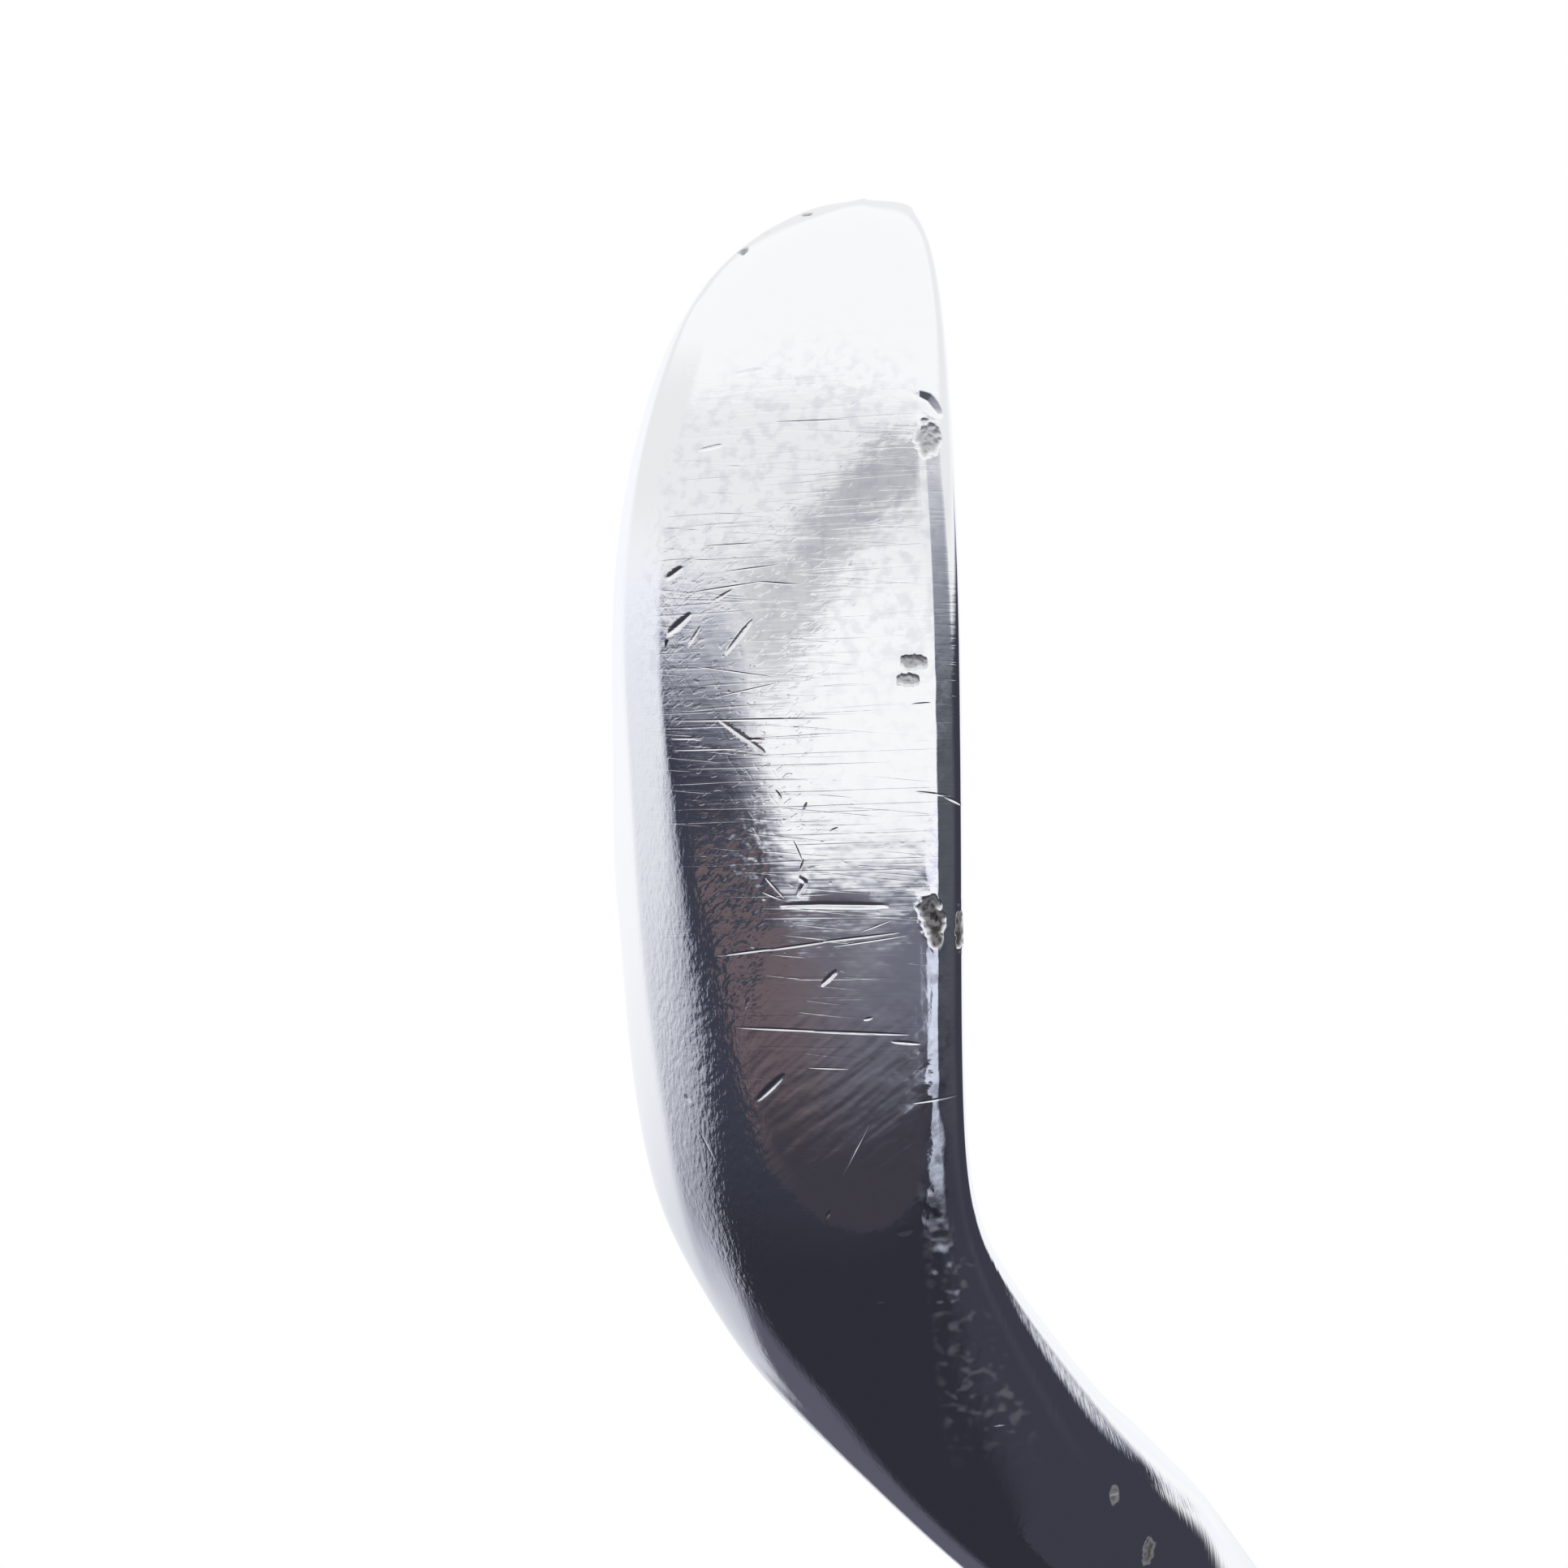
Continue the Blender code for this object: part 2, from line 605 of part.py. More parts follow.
def grip():
    hole = tape_outer + CLEARANCE
    vent = 0.5 * VENT_DIAMETER
    cap = hole + GRIP_BUTT_WALL
    body = cap - CAP_STEP
    mouth = hole + GRIP_MOUTH_WALL
    profile = [(vent, 0)]
    for step in range(CORNER_STEPS):
        turn = 0.5 * math.pi * step / (CORNER_STEPS - 1)
        profile.append((cap + CAP_ROUND * (math.sin(turn) - 1), CAP_ROUND * (1 - math.cos(turn))))
    profile.append((cap, CAP_RIM - CAP_STEP))
    for step in range(GRIP_STEPS):
        share = step / GRIP_STEPS
        radius = mouth + (body - mouth) * (1 - share) ** GRIP_TAPER
        profile.append((radius, CAP_RIM + share * (GRIP_LENGTH - CAP_RIM)))
    profile += [(mouth, GRIP_LENGTH - MOUTH_CHAMFER), (mouth - MOUTH_CHAMFER, GRIP_LENGTH)]
    profile += [(hole, GRIP_LENGTH), (hole, GRIP_CAP), (vent, GRIP_CAP)]
    rubber = finish("Grip rubber", (0.025, 0.025, 0.026), 0.75, 0.0)
    add_object("grip", turned(profile), rubber)


def main():
    clear_scene()
    iron_head()
    ferrule()
    shaft()
    tip_weight()
    grip_tape()
    grip()


main()
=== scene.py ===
"""A used golf iron, dressed for its picture: a scratched chrome head on a steel shaft and a grip.

The club stands on the butt of its grip with the head up. The camera looks at the sole of the head.
"""

import math

import bmesh
import bpy
import numpy as np
from mathutils import Matrix, Vector, noise
from mathutils.bvhtree import BVHTree


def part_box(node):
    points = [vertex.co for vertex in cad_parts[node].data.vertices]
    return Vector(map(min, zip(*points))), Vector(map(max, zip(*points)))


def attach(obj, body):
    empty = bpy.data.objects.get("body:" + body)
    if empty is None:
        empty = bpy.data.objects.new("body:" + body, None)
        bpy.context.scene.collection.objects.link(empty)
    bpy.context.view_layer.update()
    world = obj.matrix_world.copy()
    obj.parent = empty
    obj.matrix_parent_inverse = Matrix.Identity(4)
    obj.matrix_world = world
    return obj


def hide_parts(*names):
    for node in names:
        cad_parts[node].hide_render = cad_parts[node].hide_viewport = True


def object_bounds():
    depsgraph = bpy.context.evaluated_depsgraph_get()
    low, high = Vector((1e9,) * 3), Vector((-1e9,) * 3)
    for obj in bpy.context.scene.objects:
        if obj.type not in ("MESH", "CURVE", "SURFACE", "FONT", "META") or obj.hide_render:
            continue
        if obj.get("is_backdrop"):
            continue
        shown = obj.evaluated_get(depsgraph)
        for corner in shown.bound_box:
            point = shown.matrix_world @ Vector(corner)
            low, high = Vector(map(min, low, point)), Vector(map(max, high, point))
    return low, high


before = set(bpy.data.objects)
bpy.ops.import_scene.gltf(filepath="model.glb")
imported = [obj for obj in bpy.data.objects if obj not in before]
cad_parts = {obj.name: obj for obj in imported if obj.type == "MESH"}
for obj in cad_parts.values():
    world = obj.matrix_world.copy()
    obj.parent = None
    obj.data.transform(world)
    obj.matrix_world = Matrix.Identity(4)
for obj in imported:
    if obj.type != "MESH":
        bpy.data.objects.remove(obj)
cad_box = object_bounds()
scene = bpy.context.scene
scene.view_settings.view_transform = "Standard"


# Iron head
# One steel casting, blade and hosel in a piece, ground to shape and plated with chrome.
# The surface runs in one sweep from the hosel round the heel into the blade; sizes in metres.
CLUB_LENGTH = 0.940
LIE = math.radians(62.0)
LOFT = math.radians(32.0)
BLADE_LENGTH = 0.0805
TOE_HEIGHT = 0.0545
HEEL_HEIGHT = 0.0335
TOE_NOSE_HEIGHT = 0.0250
HEEL_LIFT = 0.0062
EDGE_HEIGHT = 0.0024
EDGE_ROUND = 0.0014
EDGE_BLUNT = 0.0003
SOLE_WIDTH = 0.0230
SOLE_CROWN = 0.0002
TRAIL_BAND = 0.0042
WALL_FLARE = 0.0032
TOE_SETBACK = 0.0025
BACK_THICKNESS = 0.0080
TOPLINE = 0.0062
TOPLINE_DROP = 0.0014
TOPLINE_ROUND = 0.0004
HOSEL_DIAMETER = 0.0136
NECK_DIAMETER = 0.0154
HOSEL_TOP = 0.0700
HOSEL_BORE = 0.0100
BORE_DEPTH = 0.0320
NECK_FRONT_EASE = 0.5
NECK_REAR_EASE = 0.65
CROTCH_RADIUS = 0.0090
SHAFT_SETBACK = 0.0013
FACE_THICKNESS = 0.0032

# Guides along the blade: (share of the blade from the shaft's axis to the toe, share of a size)
HEEL_RISE = ((-0.07, 1.0), (0.05, 0.34), (0.17, 0.145), (0.32, 0.05), (0.48, 0.0))
TOE_RISE = (
    (0.48, 0.0), (0.62, 0.008), (0.74, 0.032), (0.84, 0.08), (0.905, 0.16), (0.955, 0.31),
    (0.985, 0.54), (1.0, 0.80),
)
TRAIL_REACH = (
    (-0.07, 0.70), (0.05, 0.77), (0.18, 0.817), (0.32, 0.877), (0.48, 0.945), (0.62, 0.987),
    (0.74, 0.956), (0.84, 0.875), (0.905, 0.81), (0.955, 0.725), (0.985, 0.68), (1.0, 0.69),
)
TOP_RISE = (
    (-0.07, 0.0), (0.05, 0.02), (0.17, 0.16), (0.32, 0.36), (0.48, 0.57), (0.62, 0.76),
    (0.74, 0.91), (0.84, 1.0),
)
TOE_DROP = ((0.84, 0.0), (0.905, 0.08), (0.955, 0.32), (0.985, 0.66), (1.0, 1.0))
BAND_REACH = ((0.05, 1.19), (0.18, 1.16), (0.32, 1.20), (0.48, 1.0), (1.0, 0.95))
FLARE_REACH = ((-0.07, 0.31), (0.05, 1.2), (0.18, 0.94), (0.32, 0.58), (0.55, 0.0))
EDGE_REACH = ((0.40, 0.0), (0.62, 0.12), (0.74, 0.28), (0.84, 0.52), (0.905, 0.72), (1.0, 1.0))
ROUNDNESS = ((-0.07, 0.80), (0.03, 0.40), (0.10, 0.12), (0.18, 0.02), (0.32, 0.0))
HOSEL_SHARES = (1.0, 0.95, 0.70, 0.35)
STRAIGHT_SHARE = 0.70
NECK_TURNS = 4
BLADE_SHARES = (0.073, 0.14, 0.216, 0.35, 0.503, 0.637, 0.751, 0.847, 0.909, 0.957, 0.986, 1.0)
SOLE_SHARES = (0.36, 0.70)
BACK_SHARE = 0.55

# Heights of the edges above the sole, and the most that each may be of a low section's height
LEVELS = {
    "ridge": (0.0004, 0.06),
    "sole_end": (0.0008, 0.10),
    "nose": (0.0020, 0.18),
    "face_edge": (0.0042, 0.28),
    "trail": (0.0033, 0.30),
    "face_low": (0.0090, 0.40),
    "wall_top": (0.0133, 0.55),
    "shelf": (0.0208, 0.68),
}
RING = (
    "face_low", "face_edge", "nose", "ridge", "sole_front", "sole_rear", "sole_end", "trail",
    "wall_top", "shelf", "back", "top_back", "top_front", "face_middle",
)
CREASES = {
    "ridge": ((0.05, 0.0), (0.20, 0.75), (0.84, 0.75), (1.0, 0.05)),
    "sole_end": ((0.17, 0.0), (0.40, 0.55), (0.84, 0.55), (1.0, 0.10)),
    "trail": ((0.0, 0.40), (0.10, 0.82), (0.60, 0.82), (0.80, 0.70), (1.0, 0.10)),
    "wall_top": ((0.05, 0.10), (0.32, 0.35), (0.84, 0.35), (1.0, 0.10)),
    "top_back": ((0.05, 0.0), (0.32, 0.30), (0.84, 0.30), (1.0, 0.10)),
    "top_front": ((0.05, 0.0), (0.32, 0.35), (0.84, 0.35), (1.0, 0.10)),
}
HEAD_LEVELS = 4
SHARP_ANGLE = math.radians(35.0)

# The head is drawn as it sits on the ground, X to the rear, Y to the toe and Z up, and then turned
hosel_up = Vector((0, -math.cos(LIE), math.sin(LIE)))
hosel_inner = Vector((0, math.sin(LIE), math.cos(LIE)))
face_up = Vector((math.sin(LOFT), 0, math.cos(LOFT)))
face_into = Vector((math.cos(LOFT), 0, -math.sin(LOFT)))
to_toe = Vector((0, 1, 0))
face_foot = Vector((0, 0, EDGE_HEIGHT))
hosel_foot = Vector((SHAFT_SETBACK, 0, 0))
head_turn = Matrix(((0, math.sin(LIE), math.cos(LIE)), (1, 0, 0), (0, math.cos(LIE), -math.sin(LIE))))
head_place = Matrix.Translation(Vector((0, 0, CLUB_LENGTH)) - head_turn @ hosel_foot) @ head_turn.to_4x4()


def along(guide, share):
    """The value of a guide of (share of the blade, value) points at one share of the blade."""
    shares, values = zip(*guide)
    return float(np.interp(share, shares, values))


def rear_of_face(height):
    """How far behind the leading edge the plane of the face is at a height."""
    return (height - EDGE_HEIGHT) * math.tan(LOFT)


def ring_turn(index):
    """Angle of a ring's point round the neck, from the heel side and towards the rear."""
    middle_of_sole = 0.5 * (RING.index("sole_front") + RING.index("sole_rear"))
    return (index - middle_of_sole) * 2 * math.pi / len(RING)


def top_height(share):
    height = HEEL_HEIGHT + (TOE_HEIGHT - HEEL_HEIGHT) * along(TOP_RISE, share)
    return height + (TOE_NOSE_HEIGHT - height) * along(TOE_DROP, share)


def blade_section(share):
    """(rear, height) of each point of the blade's section, from the face round the sole and back."""
    low = HEEL_LIFT * along(HEEL_RISE, share) + TOE_NOSE_HEIGHT * along(TOE_RISE, share)
    tall = top_height(share)
    level = {name: low + min(rise, most * (tall - low)) for name, (rise, most) in LEVELS.items()}
    setback = TOE_SETBACK * along(EDGE_REACH, share)
    nose = rear_of_face(level["nose"]) + EDGE_BLUNT + setback
    sole_end = SOLE_WIDTH * along(TRAIL_REACH, share)
    sole_front, sole_rear = (nose + part * (sole_end - nose) for part in SOLE_SHARES)
    trail = sole_end + TRAIL_BAND * along(BAND_REACH, share)
    wall_slope = (level["wall_top"] - level["trail"]) * math.tan(LOFT)
    thick = BACK_THICKNESS / math.cos(LOFT)
    top_thick = TOPLINE / math.cos(LOFT)
    back = level["shelf"] + BACK_SHARE * (tall - level["shelf"])
    face_middle = 0.5 * (level["face_low"] + tall)
    points = {
        "face_low": (rear_of_face(level["face_low"]), level["face_low"]),
        "face_edge": (rear_of_face(level["face_edge"]) + 0.5 * setback, level["face_edge"]),
        "nose": (nose, level["nose"]),
        "ridge": (nose + EDGE_ROUND, level["ridge"]),
        "sole_front": (sole_front, low - SOLE_CROWN),
        "sole_rear": (sole_rear, low - SOLE_CROWN),
        "sole_end": (sole_end, level["sole_end"]),
        "trail": (trail, level["trail"]),
        "wall_top": (trail + wall_slope + WALL_FLARE * along(FLARE_REACH, share), level["wall_top"]),
        "shelf": (rear_of_face(level["shelf"]) + thick, level["shelf"]),
        "back": (rear_of_face(back) + 0.5 * (thick + top_thick), back),
        "top_back": (rear_of_face(tall) + top_thick, tall - TOPLINE_DROP),
        "top_front": (rear_of_face(tall) + TOPLINE_ROUND, tall),
        "face_middle": (rear_of_face(face_middle), face_middle),
    }
    return [points[name] for name in RING]


def rounded_section(share):
    """The blade's section drawn towards an oval where the blade runs into the neck."""
    flat = blade_section(share)
    blend = along(ROUNDNESS, share)
    low = min(height for rear, height in flat)
    tall = max(height for rear, height in flat)
    front = SHAFT_SETBACK - 0.5 * NECK_DIAMETER
    back = flat[RING.index("trail")][0]
    section = []
    for index, (rear, height) in enumerate(flat):
        turn = ring_turn(index)
        oval_rear = 0.5 * (front + back) + 0.5 * (back - front) * math.sin(turn)
        oval_height = 0.5 * (low + tall) - 0.5 * (tall - low) * math.cos(turn)
        section.append((rear + blend * (oval_rear - rear), height + blend * (oval_height - height)))
    return section


def cage_radius(diameter):
    """Radius of the ring of control points whose smoothed circle has the diameter."""
    return 0.5 * diameter * 3 / (2 + math.cos(2 * math.pi / len(RING)))


neck_reach = 0.5 * NECK_DIAMETER + CROTCH_RADIUS
neck_top = (HEEL_HEIGHT + CROTCH_RADIUS - neck_reach * math.cos(LIE)) / math.sin(LIE)
neck_pivot = hosel_foot + neck_top * hosel_up + neck_reach * hosel_inner
heel_share = neck_pivot.y / BLADE_LENGTH


def head_rings():
    """Rings of control points from the hosel's end, round the neck and along the blade to the toe."""
    wide = cage_radius(NECK_DIAMETER)
    narrow = cage_radius(HOSEL_DIAMETER)
    rings = []
    for share in HOSEL_SHARES:
        centre = hosel_foot + (neck_top + share * (HOSEL_TOP - neck_top)) * hosel_up
        radius = wide + (narrow - wide) * min(1.0, share / STRAIGHT_SHARE)
        ring = []
        for index in range(len(RING)):
            turn = ring_turn(index)
            sideways = Vector((radius * math.sin(turn), 0, 0))
            ring.append(centre + sideways - radius * math.cos(turn) * hosel_inner)
        rings.append(ring)
    heel = rounded_section(heel_share)
    for step in range(NECK_TURNS, -1, -1):
        angle = LIE * step / NECK_TURNS
        blend = math.sin(0.5 * math.pi * step / NECK_TURNS)
        outward = Vector((0, -math.sin(angle), -math.cos(angle)))
        ring = []
        for index, (rear, height) in enumerate(heel):
            turn = ring_turn(index)
            round_reach = neck_reach + wide * math.cos(turn)
            blade_reach = neck_pivot.z - height
            point = neck_pivot + (blade_reach + blend * (round_reach - blade_reach)) * outward
            round_rear = SHAFT_SETBACK + wide * math.sin(turn)
            ease = NECK_FRONT_EASE if round_rear < SHAFT_SETBACK else NECK_REAR_EASE
            point.x = rear + blend ** ease * (round_rear - rear)
            ring.append(point)
        rings.append(ring)
    for part in BLADE_SHARES:
        share = heel_share + (1 - heel_share) * part
        place = share * BLADE_LENGTH
        rings.append([Vector((rear, place, height)) for rear, height in rounded_section(share)])
    return rings


def head_cage():
    """Closed mesh of quads through all the rings, with the creases of the head's edges."""
    bm = bmesh.new()
    crease = bm.edges.layers.float.new("crease_edge")
    grid = [[bm.verts.new(point) for point in ring] for ring in head_rings()]
    count = len(RING)
    for ring, following in zip(grid, grid[1:]):
        for index in range(count):
            beside = (index + 1) % count
            bm.faces.new((ring[index], ring[beside], following[beside], following[index]))
    bm.faces.new(reversed(grid[0]))
    toe = grid[-1]
    front = RING.index("sole_front")
    rear = RING.index("sole_rear")
    for step in range(count // 2 - 1):
        across = (toe[front - step], toe[rear + step])
        above = (toe[front - step - 1], toe[(rear + step + 1) % count])
        bm.faces.new((above[0], across[0], across[1], above[1]))
    for vert, beside in zip(grid[0], grid[0][1:] + grid[0][:1]):
        bm.edges.get((vert, beside))[crease] = 1.0
    blade = grid[-len(BLADE_SHARES):]
    for name, guide in CREASES.items():
        index = RING.index(name)
        for ring, following, part in zip(blade, blade[1:], BLADE_SHARES):
            share = heel_share + (1 - heel_share) * part
            bm.edges.get((ring[index], following[index]))[crease] = along(guide, share)
    bmesh.ops.recalc_face_normals(bm, faces=bm.faces)
    return bm


def placed(name, data):
    made = bpy.data.objects.new(name, data)
    scene.collection.objects.link(made)
    return made


def add_object(name, bm):
    mesh = bpy.data.meshes.new(name)
    bm.to_mesh(mesh)
    bm.free()
    return placed(name, mesh)


def smoothed(body, levels):
    smooth = body.modifiers.new("Smooth", "SUBSURF")
    smooth.levels = levels
    smooth.render_levels = levels


def cut(body, cutter):
    modifier = body.modifiers.new("Cut " + cutter.name, "BOOLEAN")
    modifier.operation = "DIFFERENCE"
    modifier.solver = "MANIFOLD"
    modifier.object = cutter


def settled_mesh(body):
    """A plain mesh of the object as its modifiers leave it."""
    bpy.context.view_layer.update()
    return bpy.data.meshes.new_from_object(body.evaluated_get(bpy.context.evaluated_depsgraph_get()))


def discard(*made):
    for item in made:
        bpy.data.objects.remove(item, do_unlink=True)


# Recess and pocket in the back
# The cavity behind the face, cut square to it, and the trough that takes weight out of the sole.
RECESS_START = 0.0130
RECESS_RIM = 0.0052
RECESS_CORNER = 0.0050
TOE_RIM_LOW = 0.0160
TOE_RIM_HIGH = 0.0170
LEDGE_CUT = 0.0012
POCKET_INSET = 0.0020
POCKET_FLOOR = 0.0055
POCKET_WALL = 0.0040
POCKET_CORNER = 0.0030
CORNER_STEPS = 8


def on_face(rear, height):
    """(length up the face, depth behind it) of a point of the blade's section."""
    arm = Vector((rear, 0, height - EDGE_HEIGHT))
    return arm.dot(face_up), arm.dot(face_into)


def topline_at(place):
    height = top_height(place / BLADE_LENGTH)
    return on_face(rear_of_face(height), height)[0]


def edge_at(place, name):
    return on_face(*rounded_section(place / BLADE_LENGTH)[RING.index(name)])


def grow(bm, way):
    grown = bmesh.ops.extrude_face_region(bm, geom=list(bm.faces))
    moved = [item for item in grown["geom"] if isinstance(item, bmesh.types.BMVert)]
    bmesh.ops.translate(bm, vec=way, verts=moved)


def blast(bm):
    """Marks the faces that a cutter leaves as matt, since a cavity is blasted and not polished."""
    matt = bm.faces.layers.float.new("blasted")
    for face in bm.faces:
        face[matt] = 1.0


def back_recess():
    low_end = BLADE_LENGTH - TOE_RIM_LOW
    high_end = BLADE_LENGTH - TOE_RIM_HIGH
    corners = (
        (RECESS_START, edge_at(RECESS_START, "wall_top")[0] - LEDGE_CUT),
        (low_end, edge_at(low_end, "wall_top")[0] - LEDGE_CUT),
        (high_end, topline_at(high_end) - RECESS_RIM),
        (RECESS_START, topline_at(RECESS_START) - RECESS_RIM),
    )
    heel_side = corners[3][1] - corners[0][1]
    bm = bmesh.new()
    floor = face_foot + FACE_THICKNESS * face_into
    verts = [bm.verts.new(floor + up * face_up + place * to_toe) for place, up in corners]
    bm.faces.new(verts)
    bmesh.ops.bevel(
        bm, geom=verts, offset=min(RECESS_CORNER, 0.45 * heel_side), segments=CORNER_STEPS,
        profile=0.5, affect="VERTICES",
    )
    grow(bm, 2 * SOLE_WIDTH * face_into)
    bmesh.ops.recalc_face_normals(bm, faces=bm.faces)
    blast(bm)
    return add_object("recess_cutter", bm)


def back_pocket():
    start = RECESS_START + POCKET_INSET
    end = BLADE_LENGTH - TOE_RIM_LOW - POCKET_INSET
    high = max(edge_at(start, "wall_top")[0], edge_at(end, "wall_top")[0])
    far = min(edge_at(start, "trail")[1], edge_at(end, "trail")[1]) - POCKET_WALL
    loop = []
    for depth in (FACE_THICKNESS, far):
        foot = (POCKET_FLOOR - EDGE_HEIGHT + depth * math.sin(LOFT)) / math.cos(LOFT)
        ends = [face_foot + depth * face_into + up * face_up for up in (foot, high)]
        loop += ends if depth == FACE_THICKNESS else reversed(ends)
    bm = bmesh.new()
    bm.faces.new([bm.verts.new(point + start * to_toe) for point in loop])
    grow(bm, (end - start) * to_toe)
    bmesh.ops.bevel(
        bm, geom=list(bm.edges), offset=POCKET_CORNER, segments=CORNER_STEPS, profile=0.5,
        affect="EDGES",
    )
    bmesh.ops.recalc_face_normals(bm, faces=bm.faces)
    blast(bm)
    return add_object("pocket_cutter", bm)


def hosel_bore():
    """Pin that cuts the hosel's bore, and stands out of the hosel as far as it goes in."""
    bm = bmesh.new()
    middle = hosel_foot + HOSEL_TOP * hosel_up
    across = hosel_up.to_track_quat("Z", "Y").to_matrix().to_4x4()
    bmesh.ops.create_cone(
        bm, cap_ends=True, segments=96, radius1=0.5 * HOSEL_BORE, radius2=0.5 * HOSEL_BORE,
        depth=2 * BORE_DEPTH, matrix=Matrix.Translation(middle) @ across,
    )
    return add_object("bore_cutter", bm)


class Wire:
    """One output of a node, which takes part in sums so that a formula reads as it is written."""

    def __init__(self, socket):
        self.socket = socket
        self.tree = socket.id_data

    @staticmethod
    def make(tree, kind, settings, inputs, output=0):
        node = tree.nodes.new(kind)
        for key, value in settings.items():
            setattr(node, key, value)
        for key, value in inputs.items():
            if isinstance(value, Wire):
                tree.links.new(value.socket, node.inputs[key])
            else:
                node.inputs[key].default_value = value
        return Wire(node.outputs[output])

    def sum(self, operation, *terms):
        inputs = dict(enumerate(terms))
        return Wire.make(self.tree, "ShaderNodeMath", {"operation": operation}, inputs)

    def __add__(self, other):
        return self.sum("ADD", self, other)

    def __radd__(self, other):
        return self.sum("ADD", other, self)

    def __sub__(self, other):
        return self.sum("SUBTRACT", self, other)

    def __rsub__(self, other):
        return self.sum("SUBTRACT", other, self)

    def __mul__(self, other):
        return self.sum("MULTIPLY", self, other)

    def __rmul__(self, other):
        return self.sum("MULTIPLY", other, self)

    def __truediv__(self, other):
        return self.sum("DIVIDE", self, other)

    def __pow__(self, other):
        return self.sum("POWER", self, other)

    def ramp(self, low, high):
        """0 at low and 1 at high, eased at both ends."""
        settings = {"interpolation_type": "SMOOTHSTEP"}
        inputs = {"Value": self, "From Min": low, "From Max": high}
        return Wire.make(self.tree, "ShaderNodeMapRange", settings, inputs)

    def between(self, low, high, soft):
        return self.ramp(low - soft, low + soft) * self.ramp(high + soft, high - soft)


def feed(wire, node, name):
    wire.tree.links.new(wire.socket, node.inputs[name])


# Score lines in the face
# Straight grooves milled across the face, one above the other, shorter where the topline is low.
SCORE_START = 0.0110
SCORE_TOE_MARGIN = 0.0195
SCORE_PITCH = 0.0034
SCORE_WIDTH = 0.0008
SCORE_DEPTH = 0.0004
FIRST_SCORE = 0.0066
SCORE_COUNT = 12
SCORE_LOW_SHARE = 0.05
SCORE_HIGH_SHARE = 0.74


def sized_tree(name, sizes):
    """A tree of geometry nodes with an input for each size, those inputs' wires and a maker of nodes."""
    tree = bpy.data.node_groups.new(name, "GeometryNodeTree")
    tree.interface.new_socket("Geometry", in_out="OUTPUT", socket_type="NodeSocketGeometry")
    tree.interface.new_socket("Geometry", in_out="INPUT", socket_type="NodeSocketGeometry")
    for size, value in sizes.items():
        kind = "NodeSocketInt" if isinstance(value, int) else "NodeSocketFloat"
        tree.interface.new_socket(size, in_out="INPUT", socket_type=kind)
    given = tree.nodes.new("NodeGroupInput")

    def make(kind, inputs=None):
        return Wire.make(tree, kind, {}, inputs or {})

    return tree, {socket.name: Wire(socket) for socket in given.outputs if socket.name}, make


def grown_mesh(name, tree, sizes, start=None):
    """Plain mesh that a tree of geometry nodes grows from a starting mesh, at the given sizes."""
    made = placed(name, start or bpy.data.meshes.new(name))
    modifier = made.modifiers.new("Grown", "NODES")
    modifier.node_group = tree
    for item in tree.interface.items_tree:
        if item.name in sizes:
            modifier[item.identifier] = sizes[item.name]
    mesh = settled_mesh(made)
    discard(made)
    return mesh


def score_line_tree(sizes):
    """Boxes up the face at one pitch, each from the slanting heel line to the toe margin."""
    tree, size, make = sized_tree("Score lines", sizes)
    index = make("GeometryNodeInputIndex")
    up = size["First"] + index * size["Pitch"]
    heel_line = (up + size["Pitch"] - size["Low top"]) * size["Slant"] + size["Low place"]
    start = up.sum("MAXIMUM", size["Start"], heel_line)
    length = size["End"] - start
    centre = make("ShaderNodeCombineXYZ", {1: start + 0.5 * length, 2: up})
    shape = make("ShaderNodeCombineXYZ", {0: 2 * size["Depth"], 1: length, 2: size["Width"]})
    points = make("GeometryNodePoints", {"Count": size["Count"], "Position": centre})
    box = make("GeometryNodeMeshCube", {"Size": (1, 1, 1)})
    lines = make("GeometryNodeInstanceOnPoints", {"Points": points, "Instance": box, "Scale": shape})
    real = make("GeometryNodeRealizeInstances", {"Geometry": lines})
    feed(real, tree.nodes.new("NodeGroupOutput"), "Geometry")
    return tree


def score_lines():
    """The boxes stand in a plane of depth, toe and up; they are turned to lie in the face."""
    low_place = SCORE_LOW_SHARE * BLADE_LENGTH
    high_place = SCORE_HIGH_SHARE * BLADE_LENGTH
    sizes = {
        "Count": SCORE_COUNT, "Pitch": SCORE_PITCH, "First": FIRST_SCORE, "Start": SCORE_START,
        "End": BLADE_LENGTH - SCORE_TOE_MARGIN, "Width": SCORE_WIDTH, "Depth": SCORE_DEPTH,
        "Low top": topline_at(low_place), "Low place": low_place,
        "Slant": (high_place - low_place) / (topline_at(high_place) - topline_at(low_place)),
    }
    mesh = grown_mesh("score_lines", score_line_tree(sizes), sizes)
    lean = Matrix((face_into, to_toe, face_up)).transposed().to_4x4()
    mesh.transform(Matrix.Translation(face_foot) @ lean)
    return placed("score_cutter", mesh)


